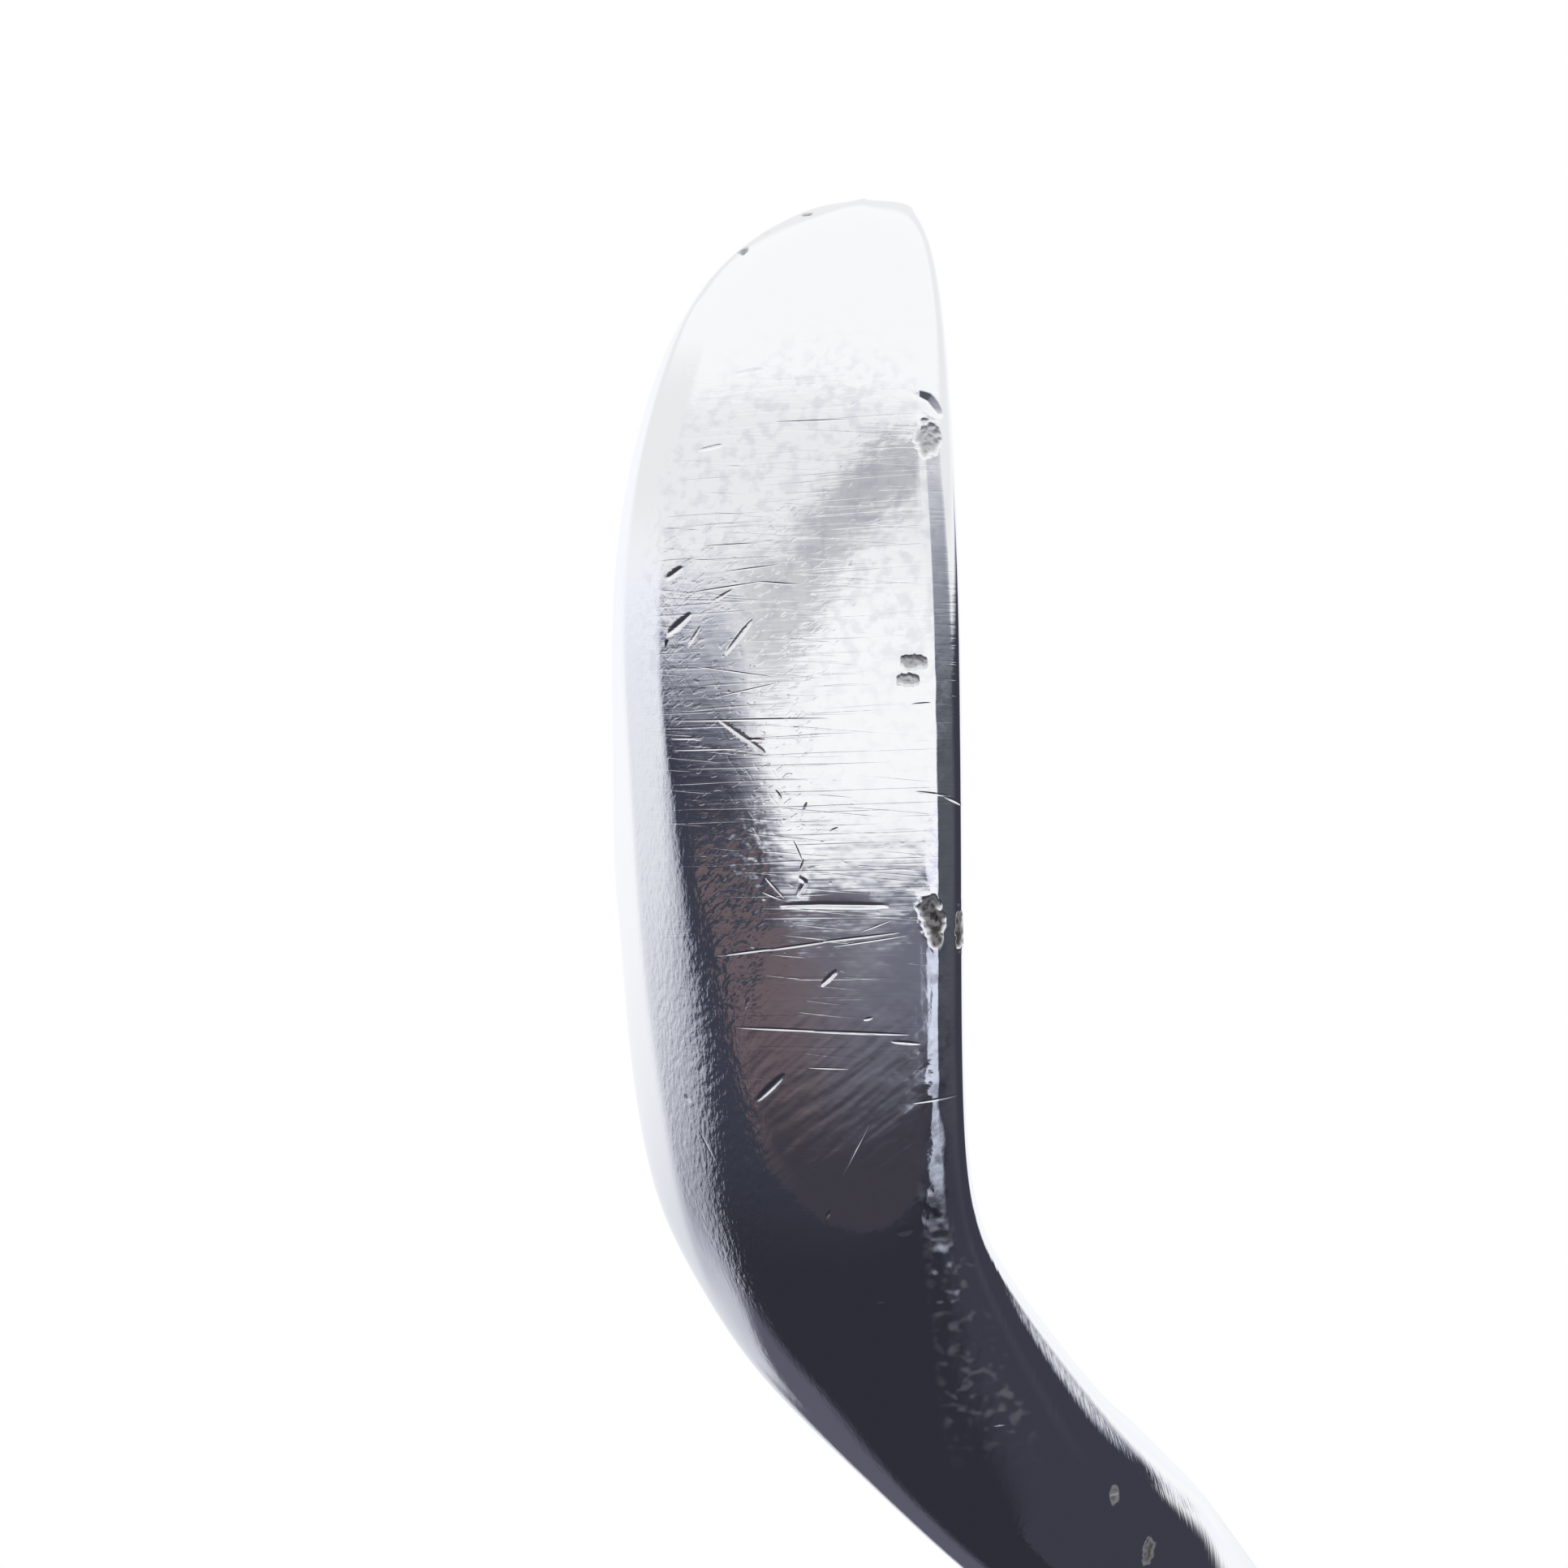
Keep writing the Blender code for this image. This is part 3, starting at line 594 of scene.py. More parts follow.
# Dents and gouges
# What stones and turf have done to the plate, seen square to the worn side: (path of (toe, across)
# points, width, depth), in millimetres from the shaft's axis to the toe and from front to rear.
WORN_TILT = math.radians(25.0)
worn_way = Vector((-math.sin(WORN_TILT), 0, -math.cos(WORN_TILT)))
across_way = Vector((math.cos(WORN_TILT), 0, -math.sin(WORN_TILT)))
GOUGES = (
    (((30.3, 11.6), (30.4, 9.0), (30.4, 4.4)), 0.42, 0.045),
    (((17.0, 13.2), (18.9, 11.3)), 0.50, 0.085),
    (((25.0, 8.8), (26.0, 7.8)), 0.34, 0.050),
    (((14.9, 7.5), (18.3, 3.0)), 0.60, 0.016),
    (((15.6, 10.5), (19.2, 8.9)), 0.50, 0.014),
    (((13.0, 10.0), (14.4, 9.1)), 0.40, 0.012),
    (((31.0, 10.4), (31.9, 9.9), (32.2, 10.3)), 0.35, 0.050),
    (((52.5, 19.4), (53.3, 18.3)), 0.50, 0.090),
    (((48.7, 19.3), (50.1, 17.7)), 0.55, 0.100),
    (((47.3, 15.3), (49.6, 13.5)), 0.38, 0.050),
    (((42.9, 15.8), (41.2, 13.4), (40.6, 12.6)), 0.32, 0.035),
    (((66.5, 14.6), (66.7, 12.7)), 0.35, 0.030),
    (((61.3, 17.2), (61.6, 15.5)), 0.35, 0.035),
    (((64.6, 2.6), (64.2, 1.7), (63.1, 0.8)), 0.95, 0.170),
    (((0.3, 6.6), (0.0, 5.7)), 0.50, 0.025),
    (((1.1, -1.4), (1.7, -2.8)), 0.60, 0.030),
    (((-1.1, -1.2), (-0.5, -2.7)), 0.50, 0.025),
    (((7.3, 0.2), (6.2, -1.4)), 0.80, 0.040),
    (((8.4, 3.7), (8.7, 2.7)), 0.60, 0.030),
)

# Rough bites out of the metal: (toe, across, length to the toe, width, depth, roughness)
BITES = (
    (30.2, 1.6, 1.7, 1.5, 0.28, 0.18),
    (29.2, 1.3, 1.9, 1.7, 0.26, 0.20),
    (28.1, 1.2, 1.3, 1.1, 0.12, 0.12),
    (28.9, -0.4, 3.4, 0.7, 0.12, 0.12),
    (61.6, 1.7, 2.4, 1.8, 0.10, 0.06),
    (46.6, 2.7, 0.9, 2.3, 0.10, 0.07),
    (45.4, 3.1, 0.75, 2.0, 0.08, 0.06),
    (78.9, 9.7, 0.8, 1.0, 0.14, 0.10),
    (75.9, 14.2, 0.8, 0.9, 0.14, 0.10),
    (77.4, 12.6, 0.5, 0.7, 0.05, 0.02),
    (73.9, 16.7, 0.6, 0.9, 0.05, 0.02),
    (-10.8, -11.6, 1.5, 0.7, 0.07, 0.10),
    (-15.4, -14.3, 2.2, 1.0, 0.07, 0.11),
)
MILLIMETRE = 0.001
RIM_SHARE = 0.08
BARE_ROUGHNESS = 0.12
FINE_EDGE = 0.0001
REFINE_MARGINS = (0.42, 0.24, 0.09)
SHALLOW = 0.02
RAY_START = 0.00002
ROUND_SPLIT = 0.5


def path_distance(points, path):
    """Distance of each (toe, across) point from a path, and its share of the way along it."""
    steps = list(zip(path, path[1:]))
    spans = [math.dist(a, b) for a, b in steps]
    whole = sum(spans)
    best = np.full(len(points), np.inf)
    share = np.zeros(len(points))
    done = 0.0
    for (a, b), span in zip(steps, spans):
        a = np.array(a)
        way = np.array(b) - a
        part = np.clip((points - a) @ way / (span * span), 0, 1)
        gap = np.linalg.norm(points - a - part[:, None] * way, axis=1)
        nearer = gap < best
        best[nearer] = gap[nearer]
        share[nearer] = (done + part[nearer] * span) / whole
        done += span
    return best, share


def gouge_depth(points, path, width, depth):
    """Push inwards, in millimetres, with a low burr thrown up along both sides."""
    gap, share = path_distance(points, path)
    ends = np.sqrt(np.clip(4 * share * (1 - share), 0, 1))
    reach = 0.5 * width * (0.25 + 0.75 * ends)
    across = gap / reach
    groove = np.clip(1 - across, 0, 1)
    burr = np.clip(1 - np.abs(across - 1.35) / 0.55, 0, 1) * RIM_SHARE
    return depth * (0.15 + 0.85 * ends) * (groove - burr * ends)


def bite_depth(points, toe, middle, length, width, depth, rough):
    across = np.hypot((points[:, 0] - toe) / (0.5 * length), (points[:, 1] - middle) / (0.5 * width))
    ragged = np.array([noise.noise(Vector((1.1 * t, 1.1 * a, 3.0))) for t, a in points])
    torn = np.array([noise.noise(Vector((2.7 * t, 2.7 * a, 9.0))) for t, a in points])
    across = across + 0.35 * ragged + 0.3 * torn
    hollow = np.clip(1.25 * (1 - across ** 3), 0, 1)
    crumbs = np.array([noise.turbulence(Vector((2.2 * t, 2.2 * a, 7.0)), 4, True) for t, a in points])
    burr = np.clip(1 - np.abs(across - 1.12) / 0.2, 0, 1)
    bare = hollow * min(1.0, rough / BARE_ROUGHNESS)
    return hollow * (depth + rough * (crumbs - 0.6)) - 0.05 * depth * burr, bare


def worn_side(bm):
    """The vertices that stones can reach, and their (toe, across) places in millimetres."""
    tree = BVHTree.FromBMesh(bm)
    verts = [
        vert for vert in bm.verts
        if vert.normal.dot(worn_way) > 0
        and tree.ray_cast(vert.co + RAY_START * worn_way, worn_way)[0] is None
    ]
    return verts, np.array([(vert.co.y, vert.co.dot(across_way)) for vert in verts]) / MILLIMETRE


def marks_near(points, margin):
    near = np.zeros(len(points), bool)
    for path, width, depth in GOUGES:
        if depth > SHALLOW:
            near |= path_distance(points, path)[0] < 0.5 * width + margin
    for toe, middle, length, width, _, _ in BITES:
        reach_toe = 0.6 * length + margin
        reach_across = 0.6 * width + margin
        near |= np.hypot((points[:, 0] - toe) / reach_toe, (points[:, 1] - middle) / reach_across) < 1
    return near


def refine(bm):
    """Splits the faces round the marks until they are fine, and keeps the new points on the round."""
    for margin in REFINE_MARGINS:
        reached = set(worn_side(bm)[0])
        edges = [
            edge for edge in bm.edges
            if reached.issuperset(edge.verts) and edge.calc_length() > FINE_EDGE
        ]
        middles = [(edge.verts[0].co + edge.verts[1].co) / 2 for edge in edges]
        points = np.array([(middle.y, middle.dot(across_way)) for middle in middles]) / MILLIMETRE
        chosen = [edge for edge, near in zip(edges, marks_near(points, margin)) if near]
        bmesh.ops.subdivide_edges(bm, edges=chosen, cuts=1, use_grid_fill=True, smooth=ROUND_SPLIT)
        bm.normal_update()


def dent(bm):
    """Pushes the marks into the surface and notes on each vertex how raw the metal is there."""
    raw = bm.verts.layers.float.new("raw")
    verts, points = worn_side(bm)
    push = np.zeros(len(points))
    bare = np.zeros(len(points))
    for path, width, depth in GOUGES:
        push += gouge_depth(points, path, width, depth)
    for bite in BITES:
        near = np.hypot(points[:, 0] - bite[0], points[:, 1] - bite[1]) < bite[2]
        deep, bared = bite_depth(points[near], *bite)
        push[near] += deep
        bare[near] = np.maximum(bare[near], bared)
    for vert, deep, share in zip(verts, push.tolist(), bare.tolist()):
        vert.co -= deep * MILLIMETRE * vert.normal
        vert[raw] = share


def iron_head():
    body = add_object("head_body", head_cage())
    smoothed(body, HEAD_LEVELS)
    cutters = (back_recess(), back_pocket(), score_lines(), hosel_bore())
    for cutter in cutters:
        cut(body, cutter)
    mesh = settled_mesh(body)
    discard(body, *cutters)
    mesh.shade_smooth()
    mesh.set_sharp_from_angle(angle=SHARP_ANGLE)
    bm = bmesh.new()
    bm.from_mesh(mesh)
    refine(bm)
    dent(bm)
    bm.to_mesh(mesh)
    bm.free()
    mesh.transform(head_place)
    low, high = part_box("iron_head")
    for vert in mesh.vertices:
        vert.co = [min(max(place, least), most) for place, least, most in zip(vert.co, low, high)]
    return placed("chrome_head", mesh)


def new_finish(name):
    """A material, its Principled shader and the wires of the object's own (x, y, z)."""
    material = bpy.data.materials.new(name)
    material.use_nodes = True
    tree = material.node_tree
    shader = tree.nodes["Principled BSDF"]
    place = Wire.make(tree, "ShaderNodeTexCoord", {}, {}, "Object")
    split = tree.nodes.new("ShaderNodeSeparateXYZ")
    feed(place, split, 0)
    return material, shader, [Wire(socket) for socket in split.outputs]


def grain(first, second, third, detail=2.0):
    """Noise over three wires that are already scaled to its grain."""
    spot = Wire.make(first.tree, "ShaderNodeCombineXYZ", {}, {0: first, 1: second, 2: third})
    return Wire.make(first.tree, "ShaderNodeTexNoise", {}, {"Vector": spot, "Scale": 1.0, "Detail": detail})


def mixed(share, first, second):
    """Colour between two colours."""
    inputs = {0: share, 6: first, 7: second}
    return Wire.make(share.tree, "ShaderNodeMix", {"data_type": "RGBA"}, inputs, 2)


def bumped(height, distance):
    """Normal of a surface with that height, in units of the distance."""
    return Wire.make(height.tree, "ShaderNodeBump", {}, {"Height": height, "Distance": distance}, "Normal")


# Chrome of the head
# Bright plate, brushed and scratched straight across the sole, dinged all over by small stones, with
# an orange peel on the band behind the sole, grinding marks along the neck and a matt cavity.
CHROME = (0.93, 0.935, 0.95, 1)
DULL_CHROME = (0.8, 0.81, 0.85, 1)
BARE_STEEL = (0.19, 0.18, 0.19, 1)
CRACK = (0.04, 0.036, 0.034, 1)
GRIME = (0.20, 0.195, 0.22, 1)
SCRATCH_UNIT = 0.000002

# Single scratches: (start, end, width), with (toe, across) points in millimetres as for the gouges
SCRATCHES = (
    ((26.8, 16.0), (27.5, 11.4), 0.22), ((27.2, 13.0), (28.0, 8.0), 0.24), ((27.8, 9.6), (28.6, 3.6), 0.22),
    ((27.6, 8.0), (28.4, 3.2), 0.14), ((28.6, 6.2), (29.4, 4.2), 0.12), ((22.0, 15.0), (21.9, 8.0), 0.22),
    ((21.9, 10.5), (21.8, 2.9), 0.26), ((21.3, 4.2), (21.2, 2.2), 0.30), ((22.7, 6.0), (22.9, 5.4), 0.26),
    ((23.2, 14.0), (24.1, 13.7), 0.26), ((17.2, 2.7), (17.8, -0.5), 0.22), ((32.2, 12.6), (30.8, 11.3), 0.22),
    ((31.2, 12.8), (30.7, 11.5), 0.16), ((47.8, 17.9), (49.3, 17.0), 0.28), ((50.8, 16.3), (51.7, 14.8), 0.3),
    ((51.5, 18.0), (52.2, 12.6), 0.16), ((52.2, 13.4), (51.9, 10.2), 0.16), ((42.8, 19.0), (42.9, 8.3), 0.18),
    ((41.5, 14), (41.5, 12.6), 0.26), ((41.6, 19.1), (41.6, 16.8), 0.18), ((40.8, 19.0), (40.9, 14.0), 0.15),
    ((43.8, 2.9), (43.9, 1.5), 0.18), ((38.0, 2.6), (37.7, 0.2), 0.22), ((37.8, 0.9), (37.0, -0.8), 0.26),
    ((38.1, 11.9), (37.5, 11.5), 0.24), ((36.3, 10.2), (37.3, 9.8), 0.26), ((35.3, 8.3), (35.6, 7.7), 0.20),
    ((34.7, 10.7), (33.3, 10.1), 0.18), ((33.5, 10.0), (32.2, 10.4), 0.18), ((63.8, 7.2), (64.2, 6.3), 0.20),
    ((63.0, 12.3), (63.0, 6.6), 0.12), ((54.7, 16.8), (54.8, 13.2), 0.12), ((52.9, 15.4), (53.3, 11.6), 0.14),
    ((44.4, 15.9), (45.3, 11.8), 0.13), ((46.5, 17.4), (45.7, 12.0), 0.13), ((3.6, 5.2), (3.7, 4.5), 0.28),
    ((-5.1, -2.7), (-5.0, -3.9), 0.26), ((9.2, 8.5), (9.8, 8.2), 0.28), ((14.8, 17.2), (12.6, 16.0), 0.20),
    ((17.2, 18.2), (16.6, 17.7), 0.40), ((19.4, 9.7), (19.4, 7.0), 0.12), ((12.2, 7.4), (15.8, 5.6), 0.14),
)


def nearest_scratch(toe, across):
    """0 on the line of the nearest scratch, and 1 from its edge outwards."""
    # The last reach rides along in z, scaled to nothing, so the renderer takes one scratch after another
    tree = toe.tree
    nearest = toe.sum("MULTIPLY_ADD", toe, 0.001, 1.0)
    for start, end, width in SCRATCHES:
        way = Vector(end) - Vector(start)
        middle = 0.5 * (Vector(start) + Vector(end))
        spot = Wire.make(tree, "ShaderNodeCombineXYZ", {}, {0: toe, 1: across, 2: nearest})
        inputs = {
            "Vector": spot, "Location": (middle.x, middle.y, 0),
            "Rotation": (0, 0, math.atan2(way.y, way.x)), "Scale": (0.5 * way.length, 0.5 * width, 1e6),
        }
        local = Wire.make(tree, "ShaderNodeMapping", {"vector_type": "TEXTURE"}, inputs)
        reach = Wire.make(tree, "ShaderNodeVectorMath", {"operation": "LENGTH"}, {0: local}, "Value")
        nearest = reach.sum("MINIMUM", nearest, reach)
    return nearest.sum("MINIMUM", nearest, 1.0)


def head_finish():
    material, shader, (x, y, z) = new_finish("Scratched chrome")
    tree = material.node_tree
    rear = (y + SHAFT_SETBACK) / MILLIMETRE
    lift = z - CLUB_LENGTH
    toe = (x * math.sin(LIE) + lift * math.cos(LIE)) / MILLIMETRE
    up = (x * math.cos(LIE) - lift * math.sin(LIE)) / MILLIMETRE
    across = rear * math.cos(WORN_TILT) - up * math.sin(WORN_TILT)
    raw = Wire.make(tree, "ShaderNodeAttribute", {"attribute_name": "raw"}, {}, "Fac")

    def speckle(rearward, toeward, upward, detail):
        return grain(rear * rearward, toe * toeward, up * upward, detail)

    # Where each kind of wear lies
    low = up.ramp(6.0, 3.0)
    sole = up.ramp(3.0, 1.4) * toe.ramp(5.0, 15.0)
    edge = low * across.between(0.4, 1.6, 0.9) * toe.between(8.0, 48.0, 6.0)
    band = rear.ramp(13.0, 16.0) * up.between(0.8, 5.0, 0.4) * toe.between(-4.0, 54.0, 5.0)
    chipped = sole * across.between(12.6, 17.0, 0.8) * toe.between(22.0, 36.0, 3.0)
    clawed = sole * across.ramp(7.0, 11.0) * toe.between(36.0, 57.0, 3.0)
    smeared = sole * toe.between(9.0, 23.0, 3.0)
    hammered = (across - 0.4 * toe + 4.0).ramp(0.0, 1.2) * (across - 0.12 * toe).ramp(1.4, 0.5)
    hammered = hammered * toe.between(-6.0, 12.0, 3.0)
    tip = toe.ramp(56.0, 66.0) * low
    neck = toe.ramp(14.0, 4.0)
    fresh = 0.2 + 0.3 * toe.ramp(16.0, 26.0) + 0.5 * toe.ramp(28.0, 42.0)
    fresh = fresh * (0.4 + 0.6 * across.ramp(5.0, 11.0))
    worn = speckle(0.22, 0.12, 0.1, 3.0)

    # Heights in scratch units, one kind of wear after another
    hairs = grain(rear * 0.07, toe * 3.2 + rear * 0.10, up * 0.2, 1.0).ramp(0.61, 0.68)
    tilted = grain(rear * 0.09 + 9.0, toe * 3.6 - rear * 0.26, up * 0.2, 1.0).ramp(0.63, 0.70)
    crossed = grain(rear * 0.5 + toe * 0.35, toe * 1.6 - rear * 2.2, up * 0.3, 1.0).ramp(0.63, 0.72)
    dings = speckle(1.3, 1.9, 1.3, 1.0).ramp(0.64, 0.78)
    height = 3.0 * grain(rear * 0.2, toe * 3.6 + rear * 0.1, up * 0.4, 4.0) - 1.6 * hairs - 1.3 * tilted
    height = height - 0.5 * crossed * worn.ramp(0.42, 0.6) - 1.5 * dings
    height = sole * (fresh * height + 9.0 * speckle(0.45, 0.55, 0.4, 2.0))
    strokes = grain(rear * 0.9 - toe * 0.5, toe * 2.4 + rear * 1.3, up * 0.5, 1.0).ramp(0.60, 0.70)
    height = height - 1.8 * clawed * strokes
    facets = grain(rear * 1.5 + toe * 1.2, toe * 1.1 - rear * 0.5, up * 0.8, 1.0)
    height = height + 22.0 * chipped * (facets - 0.5)
    smears = grain(toe * 0.16 - rear * 0.22, toe * 1.0 + rear * 0.75, up * 0.3, 1.0)
    height = height + 14.0 * smeared * (smears - 0.5)
    nibbled = speckle(0.9, 0.3, 0.9, 1.0)
    frayed = speckle(3.0, 1.8, 3.0, 2.0)
    height = height + edge * (70.0 * nibbled + 7.0 * frayed - 38.5)
    for rise, where, waves in (
        (70.0, hammered, (0.75, 0.75, 0.75, 1.0)), (14.0, band, (3.0, 1.5, 3.0, 2.0)),
        (5.0, tip, (1.1, 2.0, 1.2, 3.0)), (6.0, neck, (2.6, 0.3, 2.6, 2.0)),
    ):
        height = height + rise * where * (speckle(*waves) - 0.5)
    height = height + 16.0 * low.sum("MAXIMUM", low, neck) * nearest_scratch(toe, across)
    height = height + raw * speckle(5.0, 5.0, 5.0, 4.0) * 14.0
    feed(bumped(height, SCRATCH_UNIT), shader, "Normal")

    blasted = Wire.make(tree, "ShaderNodeAttribute", {"attribute_name": "blasted"}, {}, "Fac")
    rough = 0.03 + sole * (0.02 + 0.05 * worn.ramp(0.40, 0.70)) + raw * 0.4 + blasted * 0.42
    feed(rough, shader, "Roughness")
    mottle = sole * speckle(1.0, 1.2, 1.0, 3.0).ramp(0.45, 0.66)
    plate = mixed(mottle * (0.3 + 0.6 * toe.between(46.0, 76.0, 4.0)), CHROME, DULL_CHROME)
    rubbed = speckle(0.5, 0.4, 0.5, 3.0).ramp(0.50, 0.60)
    plate = mixed(0.75 * edge * rubbed * toe.ramp(30.0, 25.0), plate, GRIME)
    bruised = hammered * speckle(1.0, 1.3, 1.0, 1.0).ramp(0.50, 0.74)
    cracks = speckle(2.0, 1.6, 2.0, 3.0).ramp(0.56, 0.46)
    feed(mixed(raw, plate, mixed(0.8 * cracks, BARE_STEEL, CRACK)), shader, "Base Color")
    feed(1.0 - 0.6 * raw - 0.06 * bruised, shader, "Metallic")
    return material


head = iron_head()
head.data.materials.clear()
head.data.materials.append(head_finish())
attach(head, "root")
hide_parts("iron_head")


# Ferrule
# A collar of black plastic that covers the end of the hosel, turned and polished in place.
# It is pushed up the shaft against the hosel before the head is glued on.
TIP_DIAMETER = 0.0094
CLEARANCE = 0.0003
FERRULE_BAND = 0.0055
FERRULE_LIP = 0.0005
FERRULE_EDGE = 0.0003
FERRULE_GROOVES = (0.0016, 0.0034)
GROOVE_WIDTH = 0.0006
GROOVE_DEPTH = 0.0003
FERRULE_STEPS = 24
ROUND_SIDES = 96
BLACK = (0.020, 0.020, 0.022, 1)
SMEAR = (0.034, 0.034, 0.036, 1)
TURNING = 0.000002


def turned(name, profile):
    """A turned body with a bore, from (radius, height) points once round the section of its wall."""
    bm = bmesh.new()
    rings = []
    for radius, height in profile:
        ring = []
        for side in range(ROUND_SIDES):
            angle = 2 * math.pi * side / ROUND_SIDES
            ring.append(bm.verts.new((radius * math.cos(angle), radius * math.sin(angle), height)))
        rings.append(ring)
    for ring, following in zip(rings, rings[1:] + rings[:1]):
        for side in range(ROUND_SIDES):
            beside = (side + 1) % ROUND_SIDES
            bm.faces.new((ring[side], ring[beside], following[beside], following[side]))
    bmesh.ops.recalc_face_normals(bm, faces=bm.faces)
    made = add_object(name, bm)
    made.data.shade_smooth()
    made.data.set_sharp_from_angle(angle=SHARP_ANGLE)
    return made


def ferrule_collar():
    low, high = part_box("ferrule")
    hole = 0.5 * TIP_DIAMETER + CLEARANCE
    wide = 0.5 * HOSEL_DIAMETER
    narrow = hole + FERRULE_LIP
    profile = [(hole, high.z), (wide - FERRULE_EDGE, high.z), (wide, high.z - FERRULE_EDGE)]
    for drop in FERRULE_GROOVES:
        top = high.z - drop
        profile += [(wide, top), (wide - GROOVE_DEPTH, top - 0.25 * GROOVE_WIDTH)]
        profile += [(wide - GROOVE_DEPTH, top - 0.75 * GROOVE_WIDTH), (wide, top - GROOVE_WIDTH)]
    cone = high.z - FERRULE_BAND
    for step in range(FERRULE_STEPS + 1):
        share = step / FERRULE_STEPS
        radius = narrow + (wide - narrow) * math.cos(0.5 * math.pi * share)
        profile.append((radius, cone - share * (cone - low.z)))
    profile.append((hole, low.z))
    return turned("ferrule_collar", profile)


def plastic_finish():
    material, shader, (x, y, z) = new_finish("Polished plastic")
    turning = grain(x * 150.0, y * 150.0, z * 9000.0, 2.0)
    smears = grain(x * 400.0, y * 400.0, z * 250.0, 3.0)
    feed(0.16 + 0.18 * smears.ramp(0.45, 0.75), shader, "Roughness")
    feed(mixed(smears.ramp(0.5, 0.8), BLACK, SMEAR), shader, "Base Color")
    feed(bumped(turning, TURNING), shader, "Normal")
    return material


collar = ferrule_collar()
collar.data.materials.append(plastic_finish())
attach(collar, "root")
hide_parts("ferrule")


# Shaft
# A steel tube drawn thinner towards the tip in short steps, then plated; its tip is glued in the hosel.
# The tube is open at both ends, with its thin wall showing only inside the grip and the hosel.
TIP_WALL = 0.0006
TIP_LENGTH = 0.2300
BUTT_DIAMETER = 0.0152
BUTT_WALL = 0.0004
BARE_BUTT = 0.0290
STEP_COUNT = 16
STEP_SLOPE = 0.0015
STEP_EDGE = 0.0003
TUBE = (0.74, 0.75, 0.77, 1)
RUBBED_TUBE = (0.66, 0.66, 0.67, 1)
DRAWING = 0.000001


def steel_shaft():
    low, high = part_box("shaft")
    first_step = high.z - TIP_LENGTH
    last_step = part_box("grip")[1].z + BARE_BUTT
    wide = 0.5 * BUTT_DIAMETER
    narrow = 0.5 * TIP_DIAMETER
    profile = [(wide, low.z)]
    for step in range(STEP_COUNT):
        height = last_step + (first_step - last_step) * step / (STEP_COUNT - 1)
        before = wide + (narrow - wide) * step / STEP_COUNT
        after = wide + (narrow - wide) * (step + 1) / STEP_COUNT
        foot = height - 0.5 * STEP_SLOPE
        top = height + 0.5 * STEP_SLOPE
        profile += [(before, foot - STEP_EDGE), (before, foot), (after, top), (after, top + STEP_EDGE)]
    inner = narrow - TIP_WALL
    profile += [(narrow, high.z), (inner, high.z), (inner, first_step)]
    profile += [(wide - BUTT_WALL, last_step), (wide - BUTT_WALL, low.z)]
    return turned("steel_shaft", profile)


def shaft_finish():
    material, shader, (x, y, z) = new_finish("Plated tube")
    polished = grain(x * 300.0, y * 300.0, z * 12000.0, 3.0)
    drawn = grain(x * 2500.0, y * 2500.0, z * 20.0, 2.0)
    rubbed = grain(x * 120.0, y * 120.0, z * 60.0, 3.0)
    feed(0.06 + 0.12 * rubbed.ramp(0.45, 0.75), shader, "Roughness")
    feed(mixed(rubbed.ramp(0.4, 0.8), TUBE, RUBBED_TUBE), shader, "Base Color")
    feed(bumped(0.6 * polished + 0.8 * drawn, DRAWING), shader, "Normal")
    shader.inputs["Metallic"].default_value = 1.0
    return material


tube = steel_shaft()
tube.data.materials.append(shaft_finish())
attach(tube, "root")
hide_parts("shaft")


# Swing weight
# A brass pin turned with a flange, pushed into the tip of the shaft before the head goes on.
# Nothing of it shows on a finished club, so the solid keeps its own shape.
BRASS = (0.62, 0.44, 0.18, 1)
TARNISH = (0.40, 0.27, 0.12, 1)
BRASS_TURNING = 0.000008


def brass_finish():
    material, shader, (x, y, z) = new_finish("Turned brass")
    turning = grain(x * 200.0, y * 200.0, z * 6000.0, 2.0)
    tarnish = grain(x * 500.0, y * 500.0, z * 300.0, 3.0)
    feed(mixed(tarnish.ramp(0.4, 0.7), BRASS, TARNISH), shader, "Base Color")
    feed(0.28 + 0.25 * tarnish, shader, "Roughness")
    feed(bumped(turning, BRASS_TURNING), shader, "Normal")
    shader.inputs["Metallic"].default_value = 1.0
    return material


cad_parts["tip_weight"].data.materials.clear()
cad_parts["tip_weight"].data.materials.append(brass_finish())


# Grip tape
# Double-sided paper tape wound round the butt of the shaft; wetted, it lets the grip slide on.
# The grip covers it, so the solid keeps its own shape.
PAPER = (0.56, 0.49, 0.37, 1)
PALE_FIBRE = (0.68, 0.61, 0.47, 1)
CREPE = 0.00005


def paper_finish():
    material, shader, (x, y, z) = new_finish("Tape paper")
    fibres = grain(x * 900.0, y * 900.0, z * 900.0, 4.0)
    creping = grain(x * 200.0, y * 200.0, z * 3000.0, 2.0)
    feed(mixed(fibres.ramp(0.35, 0.65), PAPER, PALE_FIBRE), shader, "Base Color")
    feed(bumped(creping + 0.5 * fibres, CREPE), shader, "Normal")
    shader.inputs["Roughness"].default_value = 0.85
    return material


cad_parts["grip_tape"].data.materials.clear()
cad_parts["grip_tape"].data.materials.append(paper_finish())


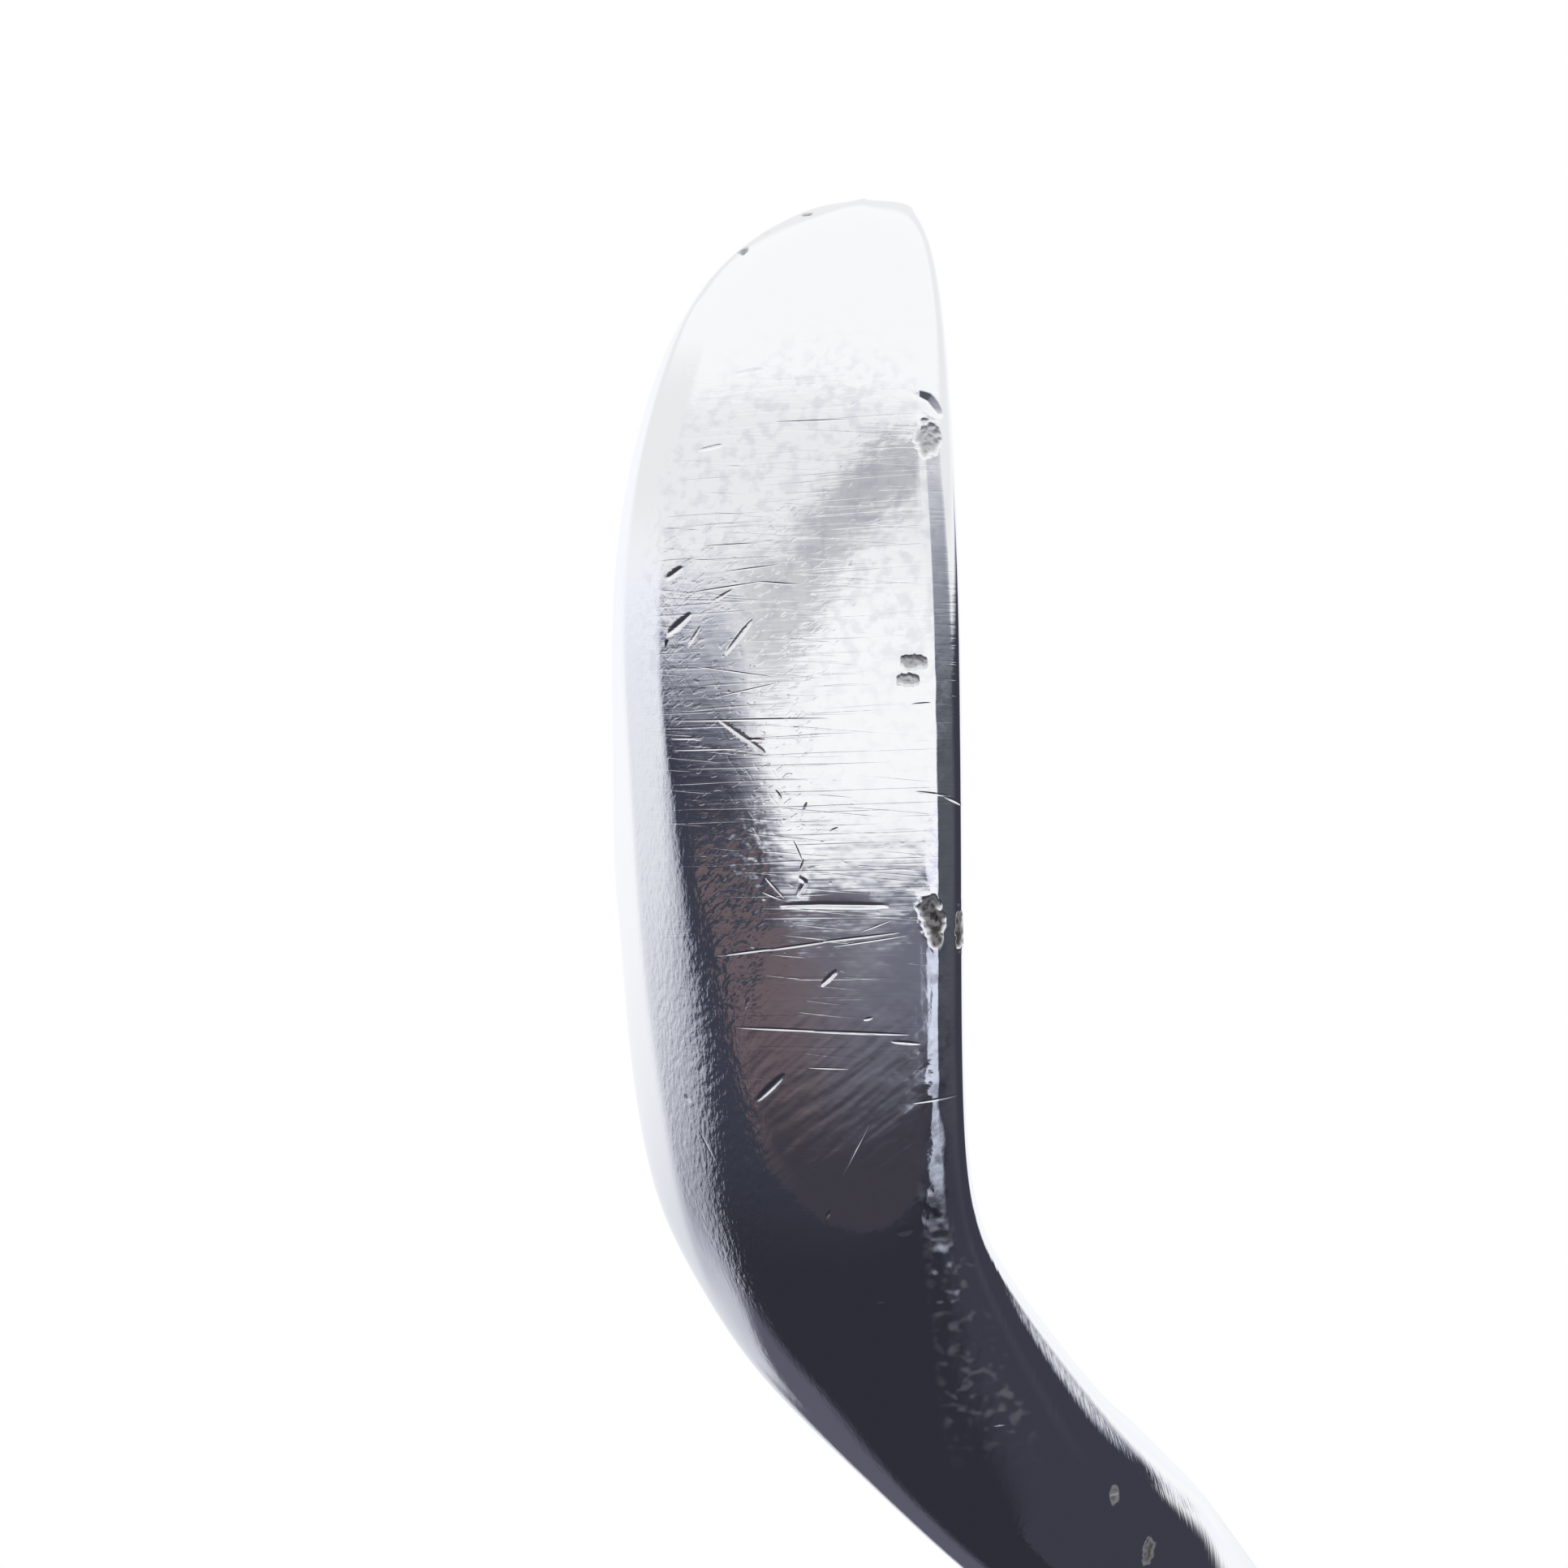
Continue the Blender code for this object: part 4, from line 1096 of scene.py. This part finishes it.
# Grip
# A moulded rubber sleeve that tapers to a thin mouth, with a capped and vented butt, slipped over
# the tape. Rows of short ribs, each row slanted against the next, are moulded round it.
GRIP_MOUTH_WALL = 0.0010
MOUTH_CHAMFER = 0.0004
GRIP_CAP = 0.0055
CAP_ROUND = 0.0020
CAP_RIM = 0.0090
CAP_STEP = 0.0012
VENT_DIAMETER = 0.0032
TAPE_THICKNESS = 0.0003
GRIP_TAPER = 1.35
GRIP_STEPS = 40
CAP_STEPS = 10
RIBS_ROUND = 22
RIB_ROWS = 56
RIB_PITCH = 0.0042
RIB_START = 0.0160
RIB_LENGTH = 0.0034
RIB_WIDTH = 0.0009
RIB_HEIGHT = 0.0004
RIB_SLANT = math.radians(38.0)
RUBBER = (0.022, 0.022, 0.023, 1)
DUST = (0.052, 0.050, 0.047, 1)
PORES = 0.00003


def grip_body():
    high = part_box("grip")[1]
    cap = high.x
    hole = 0.5 * BUTT_DIAMETER + 2 * CLEARANCE + TAPE_THICKNESS
    vent = 0.5 * VENT_DIAMETER
    body = cap - CAP_STEP
    mouth = hole + GRIP_MOUTH_WALL
    profile = [(vent, 0)]
    for step in range(CAP_STEPS):
        angle = 0.5 * math.pi * step / (CAP_STEPS - 1)
        profile.append((cap + CAP_ROUND * (math.sin(angle) - 1), CAP_ROUND * (1 - math.cos(angle))))
    for step in range(CAP_STEPS):
        angle = 0.5 * math.pi * step / (CAP_STEPS - 1)
        profile.append((body + CAP_STEP * math.cos(angle), CAP_RIM - CAP_STEP + CAP_STEP * math.sin(angle)))
    for step in range(1, GRIP_STEPS):
        share = step / GRIP_STEPS
        radius = mouth + (body - mouth) * (1 - share) ** GRIP_TAPER
        profile.append((radius, CAP_RIM + share * (high.z - CAP_RIM)))
    profile += [(mouth, high.z - MOUTH_CHAMFER), (mouth - MOUTH_CHAMFER, high.z)]
    profile += [(hole, high.z), (hole, GRIP_CAP), (vent, GRIP_CAP)]
    sizes = {
        "Round": RIBS_ROUND, "Rows": RIB_ROWS, "Pitch": RIB_PITCH, "Start": RIB_START,
        "Length": RIB_LENGTH, "Width": RIB_WIDTH, "Height": RIB_HEIGHT, "Slant": RIB_SLANT,
        "Body": body, "Mouth": mouth, "Foot": CAP_RIM, "Reach": high.z - CAP_RIM,
    }
    return turned("grip_body", profile), sizes


def rib_tree(sizes, material):
    """Short ribs in rows round the sleeve, sunk by half into it and slanted in turn to each side."""
    tree, size, make = sized_tree("Grip ribs", sizes)
    index = make("GeometryNodeInputIndex")
    row = index.sum("FLOOR", index / size["Round"])
    odd = row.sum("MODULO", row, 2.0)
    angle = (index + 0.5 * odd) / size["Round"] * (2 * math.pi)
    height = size["Start"] + row * size["Pitch"]
    share = (height - size["Foot"]) / size["Reach"]
    radius = size["Mouth"] + (size["Body"] - size["Mouth"]) * (1.0 - share) ** GRIP_TAPER
    place = make("ShaderNodeCombineXYZ", {
        0: radius * angle.sum("COSINE", angle), 1: radius * angle.sum("SINE", angle), 2: height,
    })
    turn = make("ShaderNodeCombineXYZ", {0: size["Slant"] * (2.0 * odd - 1.0), 2: angle})
    shape = make("ShaderNodeCombineXYZ", {
        0: 2.0 * size["Height"], 1: size["Width"], 2: size["Length"],
    })
    points = make("GeometryNodePoints", {"Count": size["Round"] * size["Rows"], "Position": place})
    bar = make("GeometryNodeMeshCube", {"Size": (1, 1, 1)})
    ribs = make("GeometryNodeInstanceOnPoints", {
        "Points": points, "Instance": bar, "Rotation": turn, "Scale": shape,
    })
    real = make("GeometryNodeRealizeInstances", {"Geometry": ribs})
    joined = tree.nodes.new("GeometryNodeJoinGeometry")
    feed(real, joined, 0)
    feed(size["Geometry"], joined, 0)
    done = make("GeometryNodeSetMaterial", {"Geometry": Wire(joined.outputs[0]), "Material": material})
    feed(done, tree.nodes.new("NodeGroupOutput"), "Geometry")
    return tree


def rubber_finish():
    material, shader, (x, y, z) = new_finish("Moulded rubber")
    pores = grain(x * 2500.0, y * 2500.0, z * 2500.0, 2.0)
    dust = grain(x * 160.0, y * 160.0, z * 70.0, 4.0)
    feed(mixed(dust.ramp(0.45, 0.75), RUBBER, DUST), shader, "Base Color")
    feed(0.62 + 0.25 * dust, shader, "Roughness")
    feed(bumped(pores, PORES), shader, "Normal")
    return material


def grip_sleeve():
    body, sizes = grip_body()
    mesh = grown_mesh("grip_sleeve", rib_tree(sizes, rubber_finish()), sizes, body.data)
    discard(body)
    return placed("grip_sleeve", mesh)


sleeve = grip_sleeve()
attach(sleeve, "root")
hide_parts("grip")


# Floor
# A plain pale board that the club stands on.
FLOOR_RADIUS = 0.30
FLOOR_THICKNESS = 0.010
FLOOR_SIDES = 128
BOARD = (0.86, 0.86, 0.86, 1)
FLOOR_GLOW = (0.45, 0.45, 0.45, 1)
UNLIT = (0, 0, 0, 1)


def floor_finish():
    material = bpy.data.materials.new("Pale board")
    material.use_nodes = True
    tree = material.node_tree
    shader = tree.nodes["Principled BSDF"]
    shader.inputs["Base Color"].default_value = BOARD
    shader.inputs["Roughness"].default_value = 0.9
    seen = Wire.make(tree, "ShaderNodeLightPath", {}, {}, "Is Camera Ray")
    feed(mixed(seen, UNLIT, FLOOR_GLOW), shader, "Emission Color")
    shader.inputs["Emission Strength"].default_value = 1.0
    return material


floor_bm = bmesh.new()
bmesh.ops.create_cone(
    floor_bm, cap_ends=True, segments=FLOOR_SIDES, radius1=FLOOR_RADIUS, radius2=FLOOR_RADIUS,
    depth=FLOOR_THICKNESS, matrix=Matrix.Translation((0, 0, -0.5 * FLOOR_THICKNESS)),
)
floor = add_object("floor", floor_bm)
floor.data.materials.append(floor_finish())
floor.visible_glossy = False
floor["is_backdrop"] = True


# Light
# A white tent towards the toe and behind the head, with the dark room open on the heel side, as
# the bright plate shows it, and plain white light from a large lamp on everything that isn't a mirror.
toe_way = head_turn @ Vector((0, 1, 0))
front_way = head_turn @ Vector((-1, 0, 0))
down_way = head_turn @ Vector((0, 0, -1))
TENT = (1.0, 1.0, 1.0, 1)
BACKDROP = (1, 1, 1, 1)
ROOM = (0.8, 0.8, 0.8, 1)
NIGHT = (0.028, 0.029, 0.041, 1)
NAVY = (0.047, 0.051, 0.072, 1)
BROWN = (0.165, 0.125, 0.135, 1)
UMBER = (0.050, 0.046, 0.060, 1)
SLATE = (0.165, 0.168, 0.215, 1)
GLOOM = (0.046, 0.046, 0.066, 1)
PEWTER = (0.095, 0.103, 0.120, 1)
SKIRTING = (0.105, 0.105, 0.140, 1)
HAZE = (0.86, 0.91, 1.08, 1)
PALE = (0.97, 0.98, 1.00, 1)
LAMP_PLACE = Vector((0.5, -0.9, 1.9))
LAMP_SIZE = 0.8
LAMP_POWER = 8.0


def studio():
    world = bpy.data.worlds.new("Studio")
    scene.world = world
    world.use_nodes = True
    world.cycles.sampling_method = "NONE"
    tree = world.node_tree
    way = Wire.make(tree, "ShaderNodeTexCoord", {}, {}, "Generated")

    def share(axis):
        inputs = {0: way, 1: tuple(axis)}
        return Wire.make(tree, "ShaderNodeVectorMath", {"operation": "DOT_PRODUCT"}, inputs, "Value")

    toeward = share(toe_way)
    lean = toeward.sum("ARCSINE", toeward) * math.degrees(1)
    front = share(front_way)
    down = share(down_way)
    roll = front.sum("ARCTAN2", front, down) * math.degrees(1)

    # The tent's lower hem hangs lower in front than at the rear, where it also blurs
    rearward = roll.ramp(-26.5, -40.0)
    tent = ((lean + 3.8 - 8.3 * rearward) / (1.8 + 5.2 * rearward)).ramp(-1.0, 1.0)
    turned = roll.ramp(90.0, 112.0)
    strip = ((30.0 - 22.0 * turned - lean) / (30.0 - 27.0 * turned)).ramp(0.0, 1.0)
    strip = strip * roll.between(44.0, 171.0, 6.0)
    tent = tent * (1.0 - strip)
    fold = lean - 6.0 - 12.0 * roll.ramp(-30.0, -8.0)
    fold = (fold * fold).ramp(20.0, 1.0) * roll.between(-36.0, -8.0, 6.0)
    creases = 0.45 * fold + 0.15 * lean.between(9.0, 24.0, 4.0)

    # Below the hem it is dark, and darker towards the heel, with a brown thing that ends in a round corner
    colour = mixed(lean.ramp(-32.0, -8.0), NIGHT, NAVY)
    front_dark = mixed(lean.ramp(-18.0, 2.0) * roll.ramp(120.0, 95.0), GLOOM, PEWTER)
    colour = mixed(roll.ramp(25.0, 70.0) * roll.ramp(180.0, 166.0), colour, front_dark)
    off_roll = (roll + 5.0) / 43.0
    off_lean = (lean + 8.0) / 17.0
    reach = off_roll * off_roll + off_lean * off_lean
    patch = reach.ramp(1.04, 0.96) * roll.ramp(12.0, 2.0) * lean.ramp(-3.8, -6.2)
    brown = mixed(roll.ramp(-34.0, -12.0), BROWN, SLATE)
    brown = mixed(lean.ramp(-15.0, -5.0), UMBER, brown)
    brown = mixed(0.5 * reach.ramp(0.66, 0.92) * lean.ramp(-20.0, -9.0), brown, BROWN)
    colour = mixed(patch, colour, brown)

    # Behind the head a pale wall stands on a slanting foot, with a dim skirting below it
    drop = lean.sum("MAXIMUM", -9.0 - lean, 0.0)
    past = -61.5 - 1.65 * drop - roll
    lit = 0.45 * past.ramp(-5.0, 6.0) + 0.27 * past.ramp(3.0, 19.0) + 0.12 * past.ramp(15.0, 22.0)
    lit = lit + 0.16 * past.ramp(24.0, 60.0)
    lit = lit * (0.62 + 0.38 * lean.ramp(-22.0, 0.0))
    foot = lean + 28.0 - 8.0 * roll.ramp(-127.0, -141.0)
    colour = mixed(roll.ramp(-90.0, -104.0) * lean.ramp(-52.0, -43.0), colour, SKIRTING)
    colour = mixed(lit * foot.ramp(-3.0, 3.0), colour, mixed(lit, HAZE, PALE))

    # In front two slits of light rim the plate
    near_side = 23.0 * lean.ramp(-11.0, -16.0) - 9.0
    ridge = ((roll - near_side) / 2.0).ramp(-1.0, 1.0) * roll.ramp(58.0, 40.0)
    colour = mixed(0.8 * ridge * lean.ramp(-34.0, -7.0), colour, HAZE)
    turn_in = lean.ramp(1.0, 6.0)
    far_side = ((roll - 162.0 - 14.0 * turn_in) / 4.5).ramp(-1.0, 1.0) * (1.0 - 0.2 * turn_in)
    colour = mixed(far_side * lean.ramp(-34.0, -16.0), colour, PALE)
    colour = mixed(tent, colour, mixed(creases, mixed(tent, HAZE, TENT), SLATE))

    path = tree.nodes.new("ShaderNodeLightPath")
    mirror = Wire(path.outputs["Is Glossy Ray"])
    seen = Wire(path.outputs["Is Camera Ray"])
    colour = mixed(mirror, ROOM, colour)
    colour = mixed(seen, colour, BACKDROP)
    feed(colour, tree.nodes["Background"], "Color")


def lamp():
    """Soft light from above and in front, which mirrors don't show."""
    data = bpy.data.lights.new("lamp", "AREA")
    data.size = LAMP_SIZE
    data.energy = LAMP_POWER
    made = placed("lamp", data)
    made.location = LAMP_PLACE
    made.rotation_euler = LAMP_PLACE.to_track_quat("Z", "Y").to_euler()
    made.visible_glossy = False
    made.visible_camera = False


studio()
lamp()


# Camera
# It looks at the middle of the sole from a little in front of it, with the toe at the top.
CAMERA_TILT = math.radians(25.0)
CAMERA_DISTANCE = 0.300
PHOTO_SIZE = 1932
FOCAL_PIXELS = 5490
SENSOR = 36.0
AIM = Vector((0.0125, 0.0385, 0.0))
to_camera = head_turn @ Vector((-math.sin(CAMERA_TILT), 0, -math.cos(CAMERA_TILT)))
image_up = toe_way
image_right = image_up.cross(to_camera)
camera_data = bpy.data.cameras.new("camera")
camera_data.sensor_width = SENSOR
camera_data.lens = SENSOR * FOCAL_PIXELS / PHOTO_SIZE
camera_data.clip_start = 0.01
camera = placed("camera", camera_data)
turn = Matrix((image_right, image_up, to_camera)).transposed().to_4x4()
camera.matrix_world = Matrix.Translation(head_place @ AIM + CAMERA_DISTANCE * to_camera) @ turn
scene.camera = camera

[[list(corner) for corner in box] for box in (cad_box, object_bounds())]
